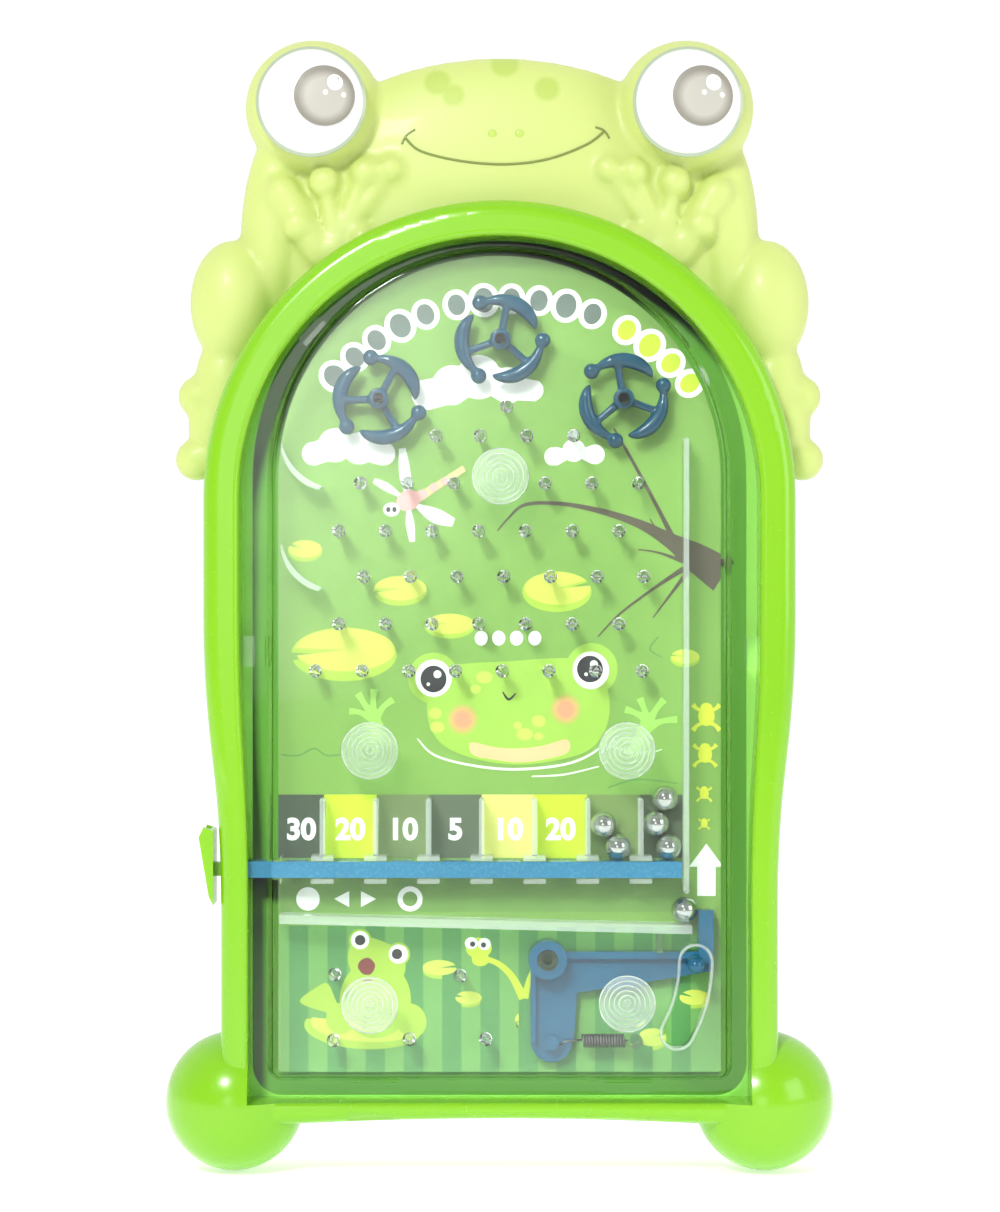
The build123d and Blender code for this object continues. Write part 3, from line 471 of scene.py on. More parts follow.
# Lily pads: a darker pad with a lighter leaf over it, each cut by its narrow notch.
pad_dark = ink("pad_green", (160, 194, 62))
pad_light = ink("pad_light", (196, 212, 84))
pads = [
    ((-44.8, 120.3), 4.0, 2.5, 150), ((-22.9, 111.1), 6.2, 3.5, 190), ((13.2, 110.9), 8.0, 4.7, 20),
    ((-11.5, 103), 5.8, 2.9, 175), ((-35.8, 96.5), 12.2, 6.2, 185), ((42.7, 95.6), 3.4, 2.1, 165),
    ((-13.9, 24), 4.1, 2.2, 10), ((-7.2, 17.1), 3.2, 1.9, 160), ((6, 12), 2.6, 2.4, 200),
    ((44.8, 17.1), 3.6, 2.2, 150), ((35.1, 7.9), 3.4, 2.6, 30),
]
print_ink("print_pads_dark", [oval(c, rx, rz, 0, n, 16) for c, rx, rz, n in pads], 1, pad_dark)
print_ink("print_pads_light", [
    oval((c[0] + 0.02 * rx, c[1] + 0.16 * rz), rx * 0.95, rz * 0.8, 0, n, 20)
    for c, rx, rz, n in pads
], 2, pad_light)

# The pond frog: head, hands held up and two eye domes, over a few ripples.
ripple = ink("ripple", (84, 138, 66))
foam = ink("foam", (220, 240, 214))
face = ink("frog_face", (150, 192, 72))
hand = ink("frog_hand", (150, 204, 92))
cheek = ink("frog_spot", (186, 220, 88))
print_ink("print_ripples", [
    stroke([(-50.3, 73.4), (-46.2, 73.2), (-42.7, 74.8), (-39.7, 73.2), (-35.1, 73.4),
        (-25.4, 72.3)], (0.3, 0.35, 0.4, 0.35, 0.35, 0.2)),
    stroke([(24.9, 65.8), (31.9, 67.7), (41.1, 66.7)], (0.3, 0.3, 0.2)),
    stroke([(36.5, 100.5), (34.6, 97.7), (37.4, 95.8)], (0.3, 0.3, 0.2)),
], 1, ripple)
print_ink("print_frog_hands", [
    stroke([(-32.6, 87.5), (-30.9, 84.8), (-28.9, 82), (-27.3, 77.4)], (1.7, 1.3, 2.4, 3.0)),
    stroke([(-28.9, 88.5), (-29.1, 85.2), (-28.9, 82)], (1.7, 1.3, 2.2)),
    stroke([(-24.5, 86.1), (-26.8, 84.3), (-28.6, 81.5)], (1.7, 1.3, 2.0)),
    stroke([(-34.6, 83.4), (-32.1, 83.1), (-29.1, 81.5)], (1.6, 1.2, 2.0)),
    stroke([(28.9, 83.8), (31.4, 82.9), (33.7, 80.6), (30.9, 72.3)], (1.7, 1.3, 2.6, 4.4)),
    stroke([(32.3, 86.4), (33.3, 83.8), (34.2, 81.1)], (1.7, 1.3, 2.4)),
    stroke([(37.9, 86.1), (36, 83.8), (34.2, 80.6)], (1.8, 1.3, 2.4)),
    stroke([(40.9, 81.5), (37.4, 81.1), (34.2, 79.7)], (1.7, 1.3, 2.4)),
], 2, hand)
add_marks(face, (226, 150, 116), [
    (card_x / MM + x, card_low.z / MM + z, 1.6) for x, z in ((-8.5, 81.5), (15.2, 83.8))
], 2.2)
print_ink("print_frog_face", [
    rounded([(-16.6, 86.1), (-15, 91.2), (-10.2, 94), (2.3, 94.9), (16.2, 95.6), (22.6, 93.3),
        (25.2, 86.6), (24.7, 80.1), (20.8, 74.6), (13.4, 72.1), (4.2, 71.1), (-5.1, 72.3),
        (-12.7, 75.3), (-16.2, 80.4)]),
    oval((-15.2, 91), 5.9, 5.9), oval((21.2, 93.1), 6.0, 6.0),
], 3, face)
print_ink("print_frog_spots", [
    oval((-3.5, 91.2), 1.9, 1.4), oval((-5.5, 88.5), 1.2, 1.0), oval((-14.8, 82.9), 1.5, 1.3),
    oval((-14.3, 79.7), 1.7, 1.3), oval((9, 81.1), 1.6, 1.4), oval((5.8, 78.1), 1.9, 1.4),
    oval((4.2, 80.1), 1.0, 0.9), oval((9, 77.6), 1.1, 0.9),
], 4, cheek)
print_ink("print_frog_lip", [rounded([(-6.5, 76.2), (-1.2, 75.1), (4.6, 74.8), (10.2, 75.5),
    (15.5, 76.9), (15.7, 73.9), (10.2, 72.3), (4.4, 71.6), (-1.4, 72.3), (-6.2, 73.4)])], 4, peach)
print_ink("print_foam", [
    stroke([(-18.9, 77.1), (-15.2, 73.4), (-7.4, 71.1), (3.2, 70), (14.8, 71.1), (21.7, 73.9),
        (25.4, 77.8)], (0.3, 0.5, 0.55, 0.6, 0.55, 0.5, 0.3)),
    stroke([(7.4, 68.4), (14.8, 68.8), (22.9, 70.7)], (0.3, 0.45, 0.3)),
    stroke([(24.9, 75.5), (31.9, 73.4), (37.4, 74.6)], (0.3, 0.4, 0.2)),
], 5, foam)
print_ink("print_eye_whites", [oval((-15.2, 91), 4.2, 4.3), oval((21, 92.8), 4.2, 4.3)], 5, white)
print_ink("print_eye_pupils", [
    oval((-15.2, 90.8), 3.0, 3.1), oval((20.8, 93.1), 3.0, 3.1),
    stroke([(0.7, 87.8), (2.1, 86.1), (3.7, 87.5)], (0.3, 0.55, 0.3)),
], 6, black)
print_ink("print_eye_glints", [
    oval((-14.3, 91.9), 0.9, 0.9), oval((-16.4, 89.6), 0.4, 0.4), oval((21.7, 94.2), 0.9, 0.9),
    oval((19.9, 91.9), 0.4, 0.4), *[oval((x, 100.2), 1.5, 1.7) for x in (-4.2, -0.2, 3.9, 8.1)],
], 7, white)

# Score boxes: one flat box of ink behind each pocket, cut to the ribs on either side of
# it, with bold white numbers in the six that score.
ribs_low, ribs_high = map(Vector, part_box("pocket_dividers"))
rib_count = 7
rib_half = 0.6
rib_pitch = (ribs_high.x - ribs_low.x - 2 * rib_half * MM) / (rib_count - 1) / MM
first_rib = (ribs_low.x + rib_half * MM - card_x) / MM
box_low = (ribs_low.z - card_low.z) / MM
box_high = box_low + 13.6
box_inks = [
    ink("box_charcoal", (66, 80, 62)), yolk, ink("box_olive", (110, 130, 82)),
    ink("box_grey", (84, 98, 76)), ink("box_cream", (216, 216, 116)),
    ink("box_lime", (190, 212, 38)), ink("box_moss", (112, 138, 76)),
    ink("box_dark", (78, 94, 66)),
]
lane_edge = (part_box("lane_wall")[0][0] - card_x) / MM
box_edges = [(card_low.x - card_x) / MM + 0.4]
box_edges += [first_rib + rib_pitch * i for i in range(rib_count)] + [lane_edge]
for i, material in enumerate(box_inks):
    print_ink(f"print_box_{i + 1}", [
        box_outline(box_edges[i], box_low - 1.0, box_edges[i + 1], box_high),
    ], 1, material)
number_h = 6.8
number_z = box_low + 5.4
left_seat_x = -51.0
for i, score in enumerate(("30", "20", "10", "5", "10", "20")):
    words = bpy.data.curves.new(f"score_{i + 1}", "FONT")
    words.body = score
    words.size = number_h * MM
    words.offset = 0.26 * MM
    words.extrude = ink_t / 2
    words.align_x, words.align_y = "CENTER", "CENTER"
    number = made_one(f"print_score_{i + 1}", [stood_in(f"print_score_{i + 1}", words)])
    middle = (max(box_edges[i], left_seat_x) + box_edges[i + 1]) / 2
    number.data.transform(Matrix.Translation((middle * MM, number_z * MM, 0)))
    lay_on_card(number, 3, white)

# Below the pockets: a dark band behind the gate with a disc, two arrows and a ring for
# open and shut, then reed stripes with a gaping frog on its pad and a thin-necked snake.
reed_dark = ink("reed_dark", (74, 140, 70))
reed_light = ink("reed_light", (104, 162, 80))
low_band = -0.7
reed_top = 34
side_edge = 50.4
gate_band = ink("gate_band", (112, 154, 74))
print_ink("print_gate_band", [
    box_outline(-side_edge, box_low - 13.4, lane_edge, box_low - 4.0),
], 1, gate_band)
print_ink("print_open_shut", [
    oval((-44.1, 40.2), 2.7, 2.7),
    [*oval((-20.6, 40.2), 2.9, 2.9), oval((-20.6, 40.2), 1.7, 1.7)[0][::-1]],
    [[(-34.6, 42), (-34.6, 38.3), (-38.1, 40.2)]], [[(-31.9, 42), (-31.9, 38.3), (-28.4, 40.2)]],
], 2, white)
stripe_w = 4.4
stripe_x = -48.4
print_ink("print_reeds_light", [
    box_outline(-side_edge, low_band, side_edge, reed_top),
], 1, reed_light)
print_ink("print_reeds_dark", [
    box_outline(stripe_x + i * 2 * stripe_w, low_band, stripe_x + (i * 2 + 1) * stripe_w, reed_top)
    for i in range(11)
], 1.5, reed_dark)
gaper = ink("gaper", (160, 196, 60))
print_ink("print_gaper_pad", [
    oval((-31.4, 10.6), 13.6, 5.0, -3, 150, 26),
    rounded([(-46, 16.6), (-42.5, 19.6), (-39.7, 20.8), (-37.9, 17.3), (-37, 14.1), (-41.6, 14.6)]),
], 2.5, pad_dark)
print_ink("print_gaper_pad_top", [oval((-30.9, 11.3), 12.6, 4.0, -3, 150, 30)], 3, pad_light)
print_ink("print_gaper", [
    oval((-28.6, 17.1), 8.2, 9.0), oval((-20.3, 12.2), 3.4, 4.0, 20),
    oval((-36.5, 12.7), 3.4, 3.6, -15),
    rounded([(-34.6, 28.9), (-32.3, 31.6), (-28.2, 30.9), (-24, 28.9), (-21.7, 25.6), (-22.6, 21.9),
        (-27.3, 20.6), (-32.3, 21.5), (-34.6, 24.7)]),
    oval((-32.1, 30.7), 2.6, 2.6), oval((-23.3, 27.5), 2.7, 2.7),
], 4, gaper)
print_ink("print_gaper_mouth", [
    rounded([
        (-31.9, 26.1), (-30, 26.6), (-28.6, 24.9), (-29.6, 22.9), (-31.4, 22.9), (-32.6, 24.5)]),
], 5, ink("mouth_red", (122, 50, 40)))
print_ink("print_gaper_eyes", [
    oval((-32.1, 30.7), 2.1, 2.1), oval((-23.3, 27.5), 2.2, 2.2), oval((-6.5, 30), 1.5, 1.4),
    oval((-3.5, 29.8), 1.5, 1.4),
], 5, white)
print_ink("print_gaper_pupils", [
    oval((-32.1, 30.7), 1.2, 1.2), oval((-23.6, 27.5), 1.2, 1.2), oval((-6.2, 29.8), 0.6, 0.6),
    oval((-3.7, 29.6), 0.6, 0.6),
], 6, black)
print_ink("print_snake", [
    oval((-4.8, 28.9), 3.0, 2.4), oval((-4.4, 26.3), 2.0, 1.6),
    stroke([(-4.2, 26.6), (-0.5, 25.4), (2.8, 22.4), (5.5, 17.3)], (1.2, 1.3, 1.6, 2.0)),
    stroke([(9, 26.1), (6.9, 21.9), (5.8, 17.3)], (0.9, 1.2, 1.6)),
], 4, yolk)

# Launch lane: four leaping frogs that shrink downwards, and an arrow that shows the way up.
hop_shapes = []
hoppers = (((47.6, 82.2), 1.0), ((47.3, 73.4), 0.85), ((47.1, 64.4), 0.55), ((47.1, 57.5), 0.4))
for centre, size in hoppers:
    cx, cz = centre
    hop_shapes.append(oval(centre, 1.9 * size, 2.2 * size))
    hop_shapes.append(oval((cx, cz + 2.0 * size), 1.4 * size, 1.1 * size))
    for side in (-1, 1):
        for dz in (1.0, -1.2):
            leg = [(cx, cz + dz * size), (cx + side * 2.0 * size, cz + dz * 1.7 * size),
                   (cx + side * 3.1 * size, cz + dz * 2.7 * size)]
            hop_shapes.append(stroke(leg, (1.1 * size, 0.8 * size, 1.2 * size)))
print_ink("print_hoppers", hop_shapes, 2, ink("hopper_yellow", (206, 216, 58)))
print_ink("print_lane_arrow", [[[
    (45.5, 40.9), (49.7, 40.9), (49.7, 47.6), (51.5, 47.6), (47.6, 52.9), (43.6, 47.6),
    (45.5, 47.6),
]]], 2, white)

# CLEAR MOULDING: one tray-shaped polystyrene cover with its pins, ribs, vanes, ring
# bumpers, posts and axles moulded on its inner face; they stop just short of the card.


def clear_plastic(name, shade, shadow, gloss=0.03, clearness=1.0):
    """Clear polystyrene; light from lamps passes through it, dimmed to the shadow colour."""
    material, made, links, shader, skin = skinned(name, 60.0, 700.0)
    preset(shader, {"Base Color": shade, "Transmission Weight": clearness, "IOR": 1.5})
    rough = made.new("ShaderNodeMath")
    rough.operation = "MULTIPLY_ADD"
    preset(rough, {1: 0.1, 2: gloss})
    through = made.new("ShaderNodeBsdfTransparent")
    preset(through, {"Color": shadow})
    path = made.new("ShaderNodeLightPath")
    either = made.new("ShaderNodeMixShader")
    links.new(skin.outputs["Scuffs"], rough.inputs[0])
    links.new(rough.outputs["Value"], shader.inputs["Roughness"])
    links.new(path.outputs["Is Shadow Ray"], either.inputs[0])
    links.new(shader.outputs["BSDF"], either.inputs[1])
    links.new(through.outputs["BSDF"], either.inputs[2])
    links.new(either.outputs["Shader"], made["Material Output"].inputs["Surface"])
    return material


def edges_at(angle):
    """Smooths the active piece, but for edges that turn more sharply than the angle."""
    bpy.ops.object.shade_smooth_by_angle(angle=math.radians(angle))


clear_sheet = clear_plastic("clear_polystyrene", (0.97, 0.995, 0.98, 1), (0.93, 0.97, 0.94, 1))
clear_posts = clear_plastic("clear_posts", (0.97, 0.99, 0.98, 1), (0.1, 0.16, 0.1, 1))
clear_ribs = clear_plastic("clear_ribs", (0.96, 1.0, 0.98, 1), (0.6, 0.7, 0.6, 1), 0.1, 0.8)
clear_rings = clear_plastic("clear_rings", (0.98, 1.0, 0.99, 1), (0.6, 0.7, 0.6, 1), 0.04, 0.9)
repaint(clear_sheet, "clear_cover")
inner_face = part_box("ring_bumpers")[0][1]
mould_gap = 0.05 * MM
for node, finish in {
    "playfield_pins": clear_posts, "spinner_axles": clear_posts, "crank_post": clear_posts,
    "crank_stop": clear_posts, "spring_post": clear_posts,
    "lane_wall": clear_ribs, "pocket_dividers": clear_ribs, "pocket_floor": clear_ribs,
    "gate_rail": clear_ribs, "ball_ramp": clear_ribs, "deflector_vanes": clear_ribs,
}.items():
    piece = stood_in(f"{node}_moulded", nodes[node].data.copy())
    finish_with(finish, piece)
    lone(piece)
    bpy.ops.object.mode_set(mode="EDIT")
    bpy.ops.mesh.select_all(action="SELECT")
    bpy.ops.mesh.remove_doubles(threshold=0.001 * MM)
    bpy.ops.object.mode_set(mode="OBJECT")
    for point in piece.data.vertices:
        if point.co.y < inner_face + 0.01 * MM:
            point.co.y = inner_face + mould_gap
    piece.data.update()
    edges_at(35)
    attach(piece, "housing")
    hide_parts(node)

# RING BUMPERS: five round clear bosses under the cover, each a shallow cone with raised
# rings turned into the tool, so that they show as bright circles one inside the other.
rings_low, rings_high = map(Vector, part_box("ring_bumpers"))
ring_r = 6.5
ring_count = 6
ring_top_y = (inner_face + mould_gap) / MM
ring_tip_y = rings_high.y / MM
low_z, high_z = rings_low.z / MM + ring_r, rings_high.z / MM - ring_r
profile = [(0.0, ring_top_y), (ring_r, ring_top_y)]
for step in range(ring_count):
    crest_r = ring_r - 0.5 - step * (ring_r - 0.9) / (ring_count - 1)
    base_y = ring_top_y + 0.3 + (ring_tip_y - ring_top_y - 1.0) * step / (ring_count - 1)
    for dr, dy in ((0.48, 0.0), (0.34, 0.36), (0.12, 0.6), (-0.12, 0.6), (-0.34, 0.36)):
        if crest_r + dr > 0:
            profile.append((crest_r + dr, base_y + dy))
profile.append((0.0, profile[-1][1]))
turned = bpy.data.meshes.new("bumper_profile")
turned.from_pydata(
    [(r * MM, y * MM, 0) for r, y in profile], [(i, i + 1) for i in range(len(profile) - 1)], [])
bumper = stood_in("bumper_profile", turned)
lone(bumper)
bpy.ops.object.mode_set(mode="EDIT")
bpy.ops.mesh.select_all(action="SELECT")
bpy.ops.mesh.spin(steps=72, angle=math.radians(360), center=(0, 0, 0), axis=(0, 1, 0))
bpy.ops.mesh.select_all(action="SELECT")
bpy.ops.mesh.remove_doubles(threshold=0.002 * MM)
bpy.ops.mesh.normals_make_consistent(inside=False)
bpy.ops.object.mode_set(mode="OBJECT")
bumpers = []
over_pockets = low_z + 58.0
for x, z in ((0.2, high_z), (-29.6, over_pockets), (29.1, over_pockets), (-29.6, low_z),
             (29.1, low_z + 0.3)):
    bumpers.append(stood_in("bumper_profile", bumper.data.copy()))
    bumpers[-1].location = (x * MM, 0, z * MM)
bpy.data.objects.remove(bumper)
bumpers = made_one("bumper_rings", bumpers)
bumpers.data.shade_smooth()
edges_at(50)
finish_with(clear_rings, bumpers)
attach(bumpers, "housing")
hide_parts("ring_bumpers")

# BALLS: polished steel balls of one size, six of them: one on the launcher, two and
# three lying in the last two pockets. They roll free, so they carry fine scuffs.
ball_steel = bare_metal("ball_steel", (176, 182, 178), (226, 230, 226), 0.07, 3200.0)
repaint(ball_steel, "ball_at_launcher", "balls_in_seventh_pocket", "balls_in_eighth_pocket")

# SPINNERS: three-bladed spinners that turn freely on the cover's axles. Each is one glossy
# steel-blue polypropylene moulding: a hub, thin spokes and thick curved blades with ball tips.
lumps = []


def lump(x, y, z, rx, ry, rz, tilt=0.0):
    """Adds one soft swelling, as an ellipsoid in mm about its middle."""
    bpy.ops.mesh.primitive_uv_sphere_add(
        segments=48, ring_count=24, radius=1.0, location=(x * MM, y * MM, z * MM),
        rotation=(0, math.radians(tilt), 0), scale=(rx * MM, ry * MM, rz * MM),
    )
    lumps.append(bpy.context.object)


def limb(x0, z0, r0, x1, z1, r1, y):
    """Adds a tapering round limb between two points in mm, with a round end at each."""
    reach = Vector((x1 - x0, 0, z1 - z0))
    bpy.ops.mesh.primitive_cone_add(
        vertices=32, radius1=r0 * MM, radius2=r1 * MM, depth=reach.length * MM,
        location=((x0 + x1) / 2 * MM, y * MM, (z0 + z1) / 2 * MM),
        rotation=reach.to_track_quat("Z", "Y").to_euler(),
    )
    lumps.append(bpy.context.object)
    lump(x0, y, z0, r0, r0, r0)
    lump(x1, y, z1, r1, r1, r1)


def drum(x, y, z, radius, depth, sides):
    """Adds a round bar in mm that lies from front to back."""
    bpy.ops.mesh.primitive_cylinder_add(
        vertices=sides, radius=radius * MM, depth=depth * MM,
        location=(x * MM, y * MM, z * MM), rotation=(math.radians(90), 0, 0),
    )
    return bpy.context.object


def shape(piece, kind, **settings):
    """Adds one modifier with its settings and applies it."""
    lone(piece)
    modifier = piece.modifiers.new(kind.lower(), kind)
    for setting, value in settings.items():
        setattr(modifier, setting, value)
    bpy.ops.object.modifier_apply(modifier=modifier.name)


def joined_lumps(name, voxel, smoothing):
    """Melts the waiting lumps into one skin, then smooths it."""
    lone(*lumps)
    bpy.ops.object.join()
    skin = bpy.context.object
    lumps.clear()
    skin.name = skin.data.name = name
    bpy.ops.object.transform_apply(location=True, rotation=True, scale=True)
    shape(skin, "REMESH", mode="VOXEL", voxel_size=voxel * MM)
    shape(skin, "SMOOTH", factor=0.5, iterations=smoothing)
    skin.data.shade_smooth()
    return skin


def cut_with(piece, tool):
    """Cuts the tool, which is still active, out of a piece and throws it away."""
    bpy.ops.object.transform_apply(location=True, rotation=True, scale=True)
    shape(piece, "BOOLEAN", operation="DIFFERENCE", object=tool, solver="EXACT")
    bpy.data.objects.remove(tool)


steel_blue = moulded_plastic("blue_pp", (0, 58, 80), (0, 74, 100), 0.16, relief=0.02)
blade_y = -5.3
hub_y = -5.4
hub_r, bore_r = 2.4, 1.3
spoke_start, spoke_end = 2.2, 8.0
blade_steps = 18
tip_r = 1.85
spinner_turns = {"left": 62.0, "top": 80.0, "right": 100.0}
for joint in frame["record"]["behaviour"]["joints"]:
    place = joint["name"].removeprefix("spinner_").removesuffix("_turn")
    if place not in spinner_turns:
        continue
    hub_x, hub_z = joint["pos_m"][0] / MM, joint["pos_m"][2] / MM
    for blade in range(3):
        spoke = spinner_turns[place] + 120.0 * blade
        dx, dz = math.cos(math.radians(spoke)), math.sin(math.radians(spoke))
        limb(hub_x + spoke_start * dx, hub_z + spoke_start * dz, 0.95,
             hub_x + spoke_end * dx, hub_z + spoke_end * dz, 0.85, blade_y)
        for step in range(blade_steps + 1):
            share = step / blade_steps
            angle = math.radians(spoke - 60.0 + 100.0 * share)
            fat = 0.5 + 1.3 * math.sin(math.pi * share**0.8)
            reach = 8.4 + 0.9 * share**0.7
            lump(hub_x + reach * math.cos(angle), blade_y, hub_z + reach * math.sin(angle),
                 fat, min(fat, 1.45), fat)
        angle = math.radians(spoke + 39.0)
        lump(hub_x + 9.7 * math.cos(angle), blade_y, hub_z + 9.7 * math.sin(angle),
             tip_r, 1.5, tip_r)
    lumps.append(drum(hub_x, hub_y, hub_z, hub_r, 5.8, 40))
    spinner = joined_lumps(f"spinner_{place}_blades", 0.3, 3)
    cut_with(spinner, drum(hub_x, hub_y, hub_z, bore_r, 20, 40))
    edges_at(45)
    finish_with(steel_blue, spinner)
    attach(spinner, f"spinner_{place}_body")
    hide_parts(f"spinner_{place}")

# LAUNCHER: the bell crank that kicks the ball, and the thumb knob pressed into its arm
# through the cover's slot. Both are moulded in the spinners' blue.
crank_blue = moulded_plastic("crank_pp", (0, 78, 108), (2, 96, 130), 0.22, relief=0.02)
repaint(crank_blue, "launch_crank", "crank_knob")

# SLOT RIM: the knob's curved slot in the cover has a raised rim with a polished round
# crest, which catches the light all the way round the opening.


def tube(name, line, radius, closed=False, detail=3, kind="POLY"):
    """A round bar or wire along a line of points in metres, with flat ends unless closed."""
    curve = bpy.data.curves.new(name, "CURVE")
    curve.dimensions = "3D"
    curve.bevel_depth = radius
    curve.bevel_resolution = detail
    curve.use_fill_caps = not closed
    run = curve.splines.new(kind)
    run.points.add(len(line) - 1)
    for point, place in zip(run.points, line):
        point.co = (*place, 1)
    run.use_cyclic_u = closed
    return stood_in(name, curve)


crank_joint = next(
    joint for joint in frame["record"]["behaviour"]["joints"] if joint["name"] == "launcher_pull")
pivot_x, pivot_z = crank_joint["pos_m"][0] / MM, crank_joint["pos_m"][2] / MM
slot_arm, slot_half, slot_turn = 33.6, 3.75, 29.0
crest_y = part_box("clear_cover")[0][1] / MM + 0.34
rim_line = []
for side, start, end in ((1, 0.0, -slot_turn), (-1, -slot_turn, 0.0)):
    reach = slot_arm + side * slot_half
    for step in range(13):
        angle = math.radians(start + (end - start) * step / 12)
        rim_line.append((pivot_x + reach * math.cos(angle), pivot_z + reach * math.sin(angle)))
    close = math.radians(end)
    middle = (pivot_x + slot_arm * math.cos(close), pivot_z + slot_arm * math.sin(close))
    for step in range(1, 12):
        angle = close + (0 if side > 0 else math.pi) - math.pi * step / 12
        rim_line.append(
            (middle[0] + slot_half * math.cos(angle), middle[1] + slot_half * math.sin(angle)))
rim_line = [(x * MM, crest_y * MM, z * MM) for x, z in rim_line]
rim = made_one("slot_rim_crest", [tube("slot_rim_crest", rim_line, 0.32 * MM, closed=True)])
rim.data.shade_smooth()
finish_with(clear_ribs, rim)
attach(rim, "housing")

# GATE BAR: a long blue bar that slides under the pockets to drop the balls. It is moulded
# in a paler, slightly milky blue than the spinners, in one with its web.
gate_blue = moulded_plastic("gate_pp", (30, 112, 148), (48, 130, 166), 0.26)
repaint(gate_blue, "gate_slider")

# RETURN SPRING: a close-wound steel wire spring hooked between the crank's pin and the spring post.
# The crank stretches it.
spring_low, spring_high = map(Vector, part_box("return_spring"))
wire_r = 0.26 * MM
coil_r = (spring_high.z - spring_low.z) / 2 - wire_r
spring_axis = (spring_low + spring_high) / 2
hook_x = spring_low.x + wire_r
coil_start, coil_end = spring_low.x + 5.2 * MM, spring_high.x - 0.9 * MM
coil_turns = 15
turn_points = 12
coil_points = coil_turns * turn_points
path = [
    (hook_x, spring_axis.y, spring_axis.z - 1.0 * MM),
    (hook_x + 0.5 * MM, spring_axis.y, spring_axis.z),
    (coil_start - 1.0 * MM, spring_axis.y, spring_axis.z),
]
for i in range(coil_points + 1):
    angle = 2 * math.pi * i / turn_points
    path.append((
        coil_start + (coil_end - coil_start) * i / coil_points,
        spring_axis.y + coil_r * math.cos(angle),
        spring_axis.z + coil_r * math.sin(angle),
    ))
path.append((spring_high.x - wire_r, spring_axis.y, spring_axis.z))
wire = tube("return_spring_wire", path, wire_r, detail=2, kind="NURBS")
wire.data.splines[0].order_u = 3
wire.data.splines[0].use_endpoint_u = True
wire.data.resolution_u = 2
spring = made_one("return_spring_wire", [wire])
spring.data.shade_smooth()
finish_with(bare_metal("spring_wire", (96, 96, 96), (140, 140, 138), 0.32, 4200.0), spring)
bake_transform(spring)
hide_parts("return_spring")

# FROG: a soft-edged pale green head, arms and legs that hold the arch from behind, blown
# in two shells joined at a seam; the front one carries the face and the fingers.
frog_low, frog_high = map(Vector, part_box("frog_front_shell"))
seam_y = frog_high.y
arch_r = 67.5
arch_gap = 0.12
frog_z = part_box("front_frame")[1][2] / MM - arch_r
finger_tips = (
    (40.3, 72.4, 3.7), (30.9, 74.6, 3.5), (24.9, 75.2, 3.2), (46.4, 62.4, 3.8), (31.6, 59.4, 3.4),
)
lump(0, 3.6, frog_z + 60, 57.5, 9.2, 42.0)
lump(0, 3.0, frog_z + 72, 46.0, 8.8, 29.5)
lump(0, 4.0, frog_z + 48, 61.0, 7.6, 34.0)
for side in (-1, 1):
    lump(43 * side, 2.2, frog_z + 90, 15.8, 11.6, 15.8)
    lump(43 * side, -1.4, frog_z + 90, 14.6, 8.0, 14.6)
    lump(52.6 * side, 3.8, frog_z + 62, 7.4, 7.4, 24.0, -3 * side)
    lump(61.7 * side, 2.6, frog_z + 45, 9.9, 9.0, 14.6)
    lump(63.6 * side, 3.6, frog_z + 26, 7.0, 6.8, 12.5)
    limb(62.5 * side, frog_z + 24, 4.6, 69.6 * side, frog_z + 23.5, 4.9, 3.6)
    limb(63.0 * side, frog_z + 11, 4.6, 70.2 * side, frog_z + 8.9, 4.9, 3.6)
    lump(66.5 * side, 3.6, frog_z + 17, 5.6, 5.8, 9.0)
    palm_x, palm_z = 37.5 * side, frog_z + 58.0
    limb(50.0 * side, frog_z + 70.0, 4.2, 41.0 * side, frog_z + 56.0, 4.0, -2.0)
    lump(palm_x, -2.6, palm_z - 1.5, 6.4, 3.8, 5.6)
    for x, z, r in finger_tips:
        limb(palm_x, palm_z, 2.2, x * side, frog_z + z, 1.7, -3.6)
        lump(x * side, -4.0, frog_z + z, r, r * 0.92, r)
body = joined_lumps("frog_body", 0.85, 5)
cut_with(body, drum(0, 0, frog_z, arch_r + arch_gap, 60, 180))

frog_skin = moulded_plastic(
    "frog_plastic", (194, 210, 118), (209, 223, 135), 0.46, 9.0, 1400.0, 0.04, 0.25, 0.05)
back_skin = frog_skin.copy()
add_marks(frog_skin, (184, 206, 100), [
    (-14.3, frog_z + 95.6, 2.4), (-10.6, frog_z + 92.4, 1.9),
    (1.2, frog_z + 100.2, 2.6), (10.9, frog_z + 94.0, 2.2),
], 1.2)
frog_pieces = {}
for name, keeps_front in (("frog_front", True), ("frog_back", False)):
    piece = stood_in(name, body.data.copy())
    piece.data.name = name
    lone(piece)
    bpy.ops.object.mode_set(mode="EDIT")
    bpy.ops.mesh.select_all(action="SELECT")
    bpy.ops.mesh.bisect(
        plane_co=(0, seam_y, 0), plane_no=(0, 1, 0), use_fill=True,
        clear_outer=keeps_front, clear_inner=not keeps_front,
    )
    bpy.ops.object.mode_set(mode="OBJECT")
    piece.data.shade_smooth()
    edges_at(40)
    finish_with(frog_skin if keeps_front else back_skin, piece)
    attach(piece, "housing")
    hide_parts("frog_front_shell" if keeps_front else "frog_back_shell")
    frog_pieces[name] = piece
bpy.data.objects.remove(body)

# FACE: a thin dark smile and two nostrils are padded on to the front shell; the eye
# discs are separate glossy white caps with grey-brown pupils, each with painted glints.
olive = moulded_plastic("smile_ink", (118, 132, 58), (132, 146, 70), 0.5)
in_front = -0.05
backwards = Vector((0, 1, 0))


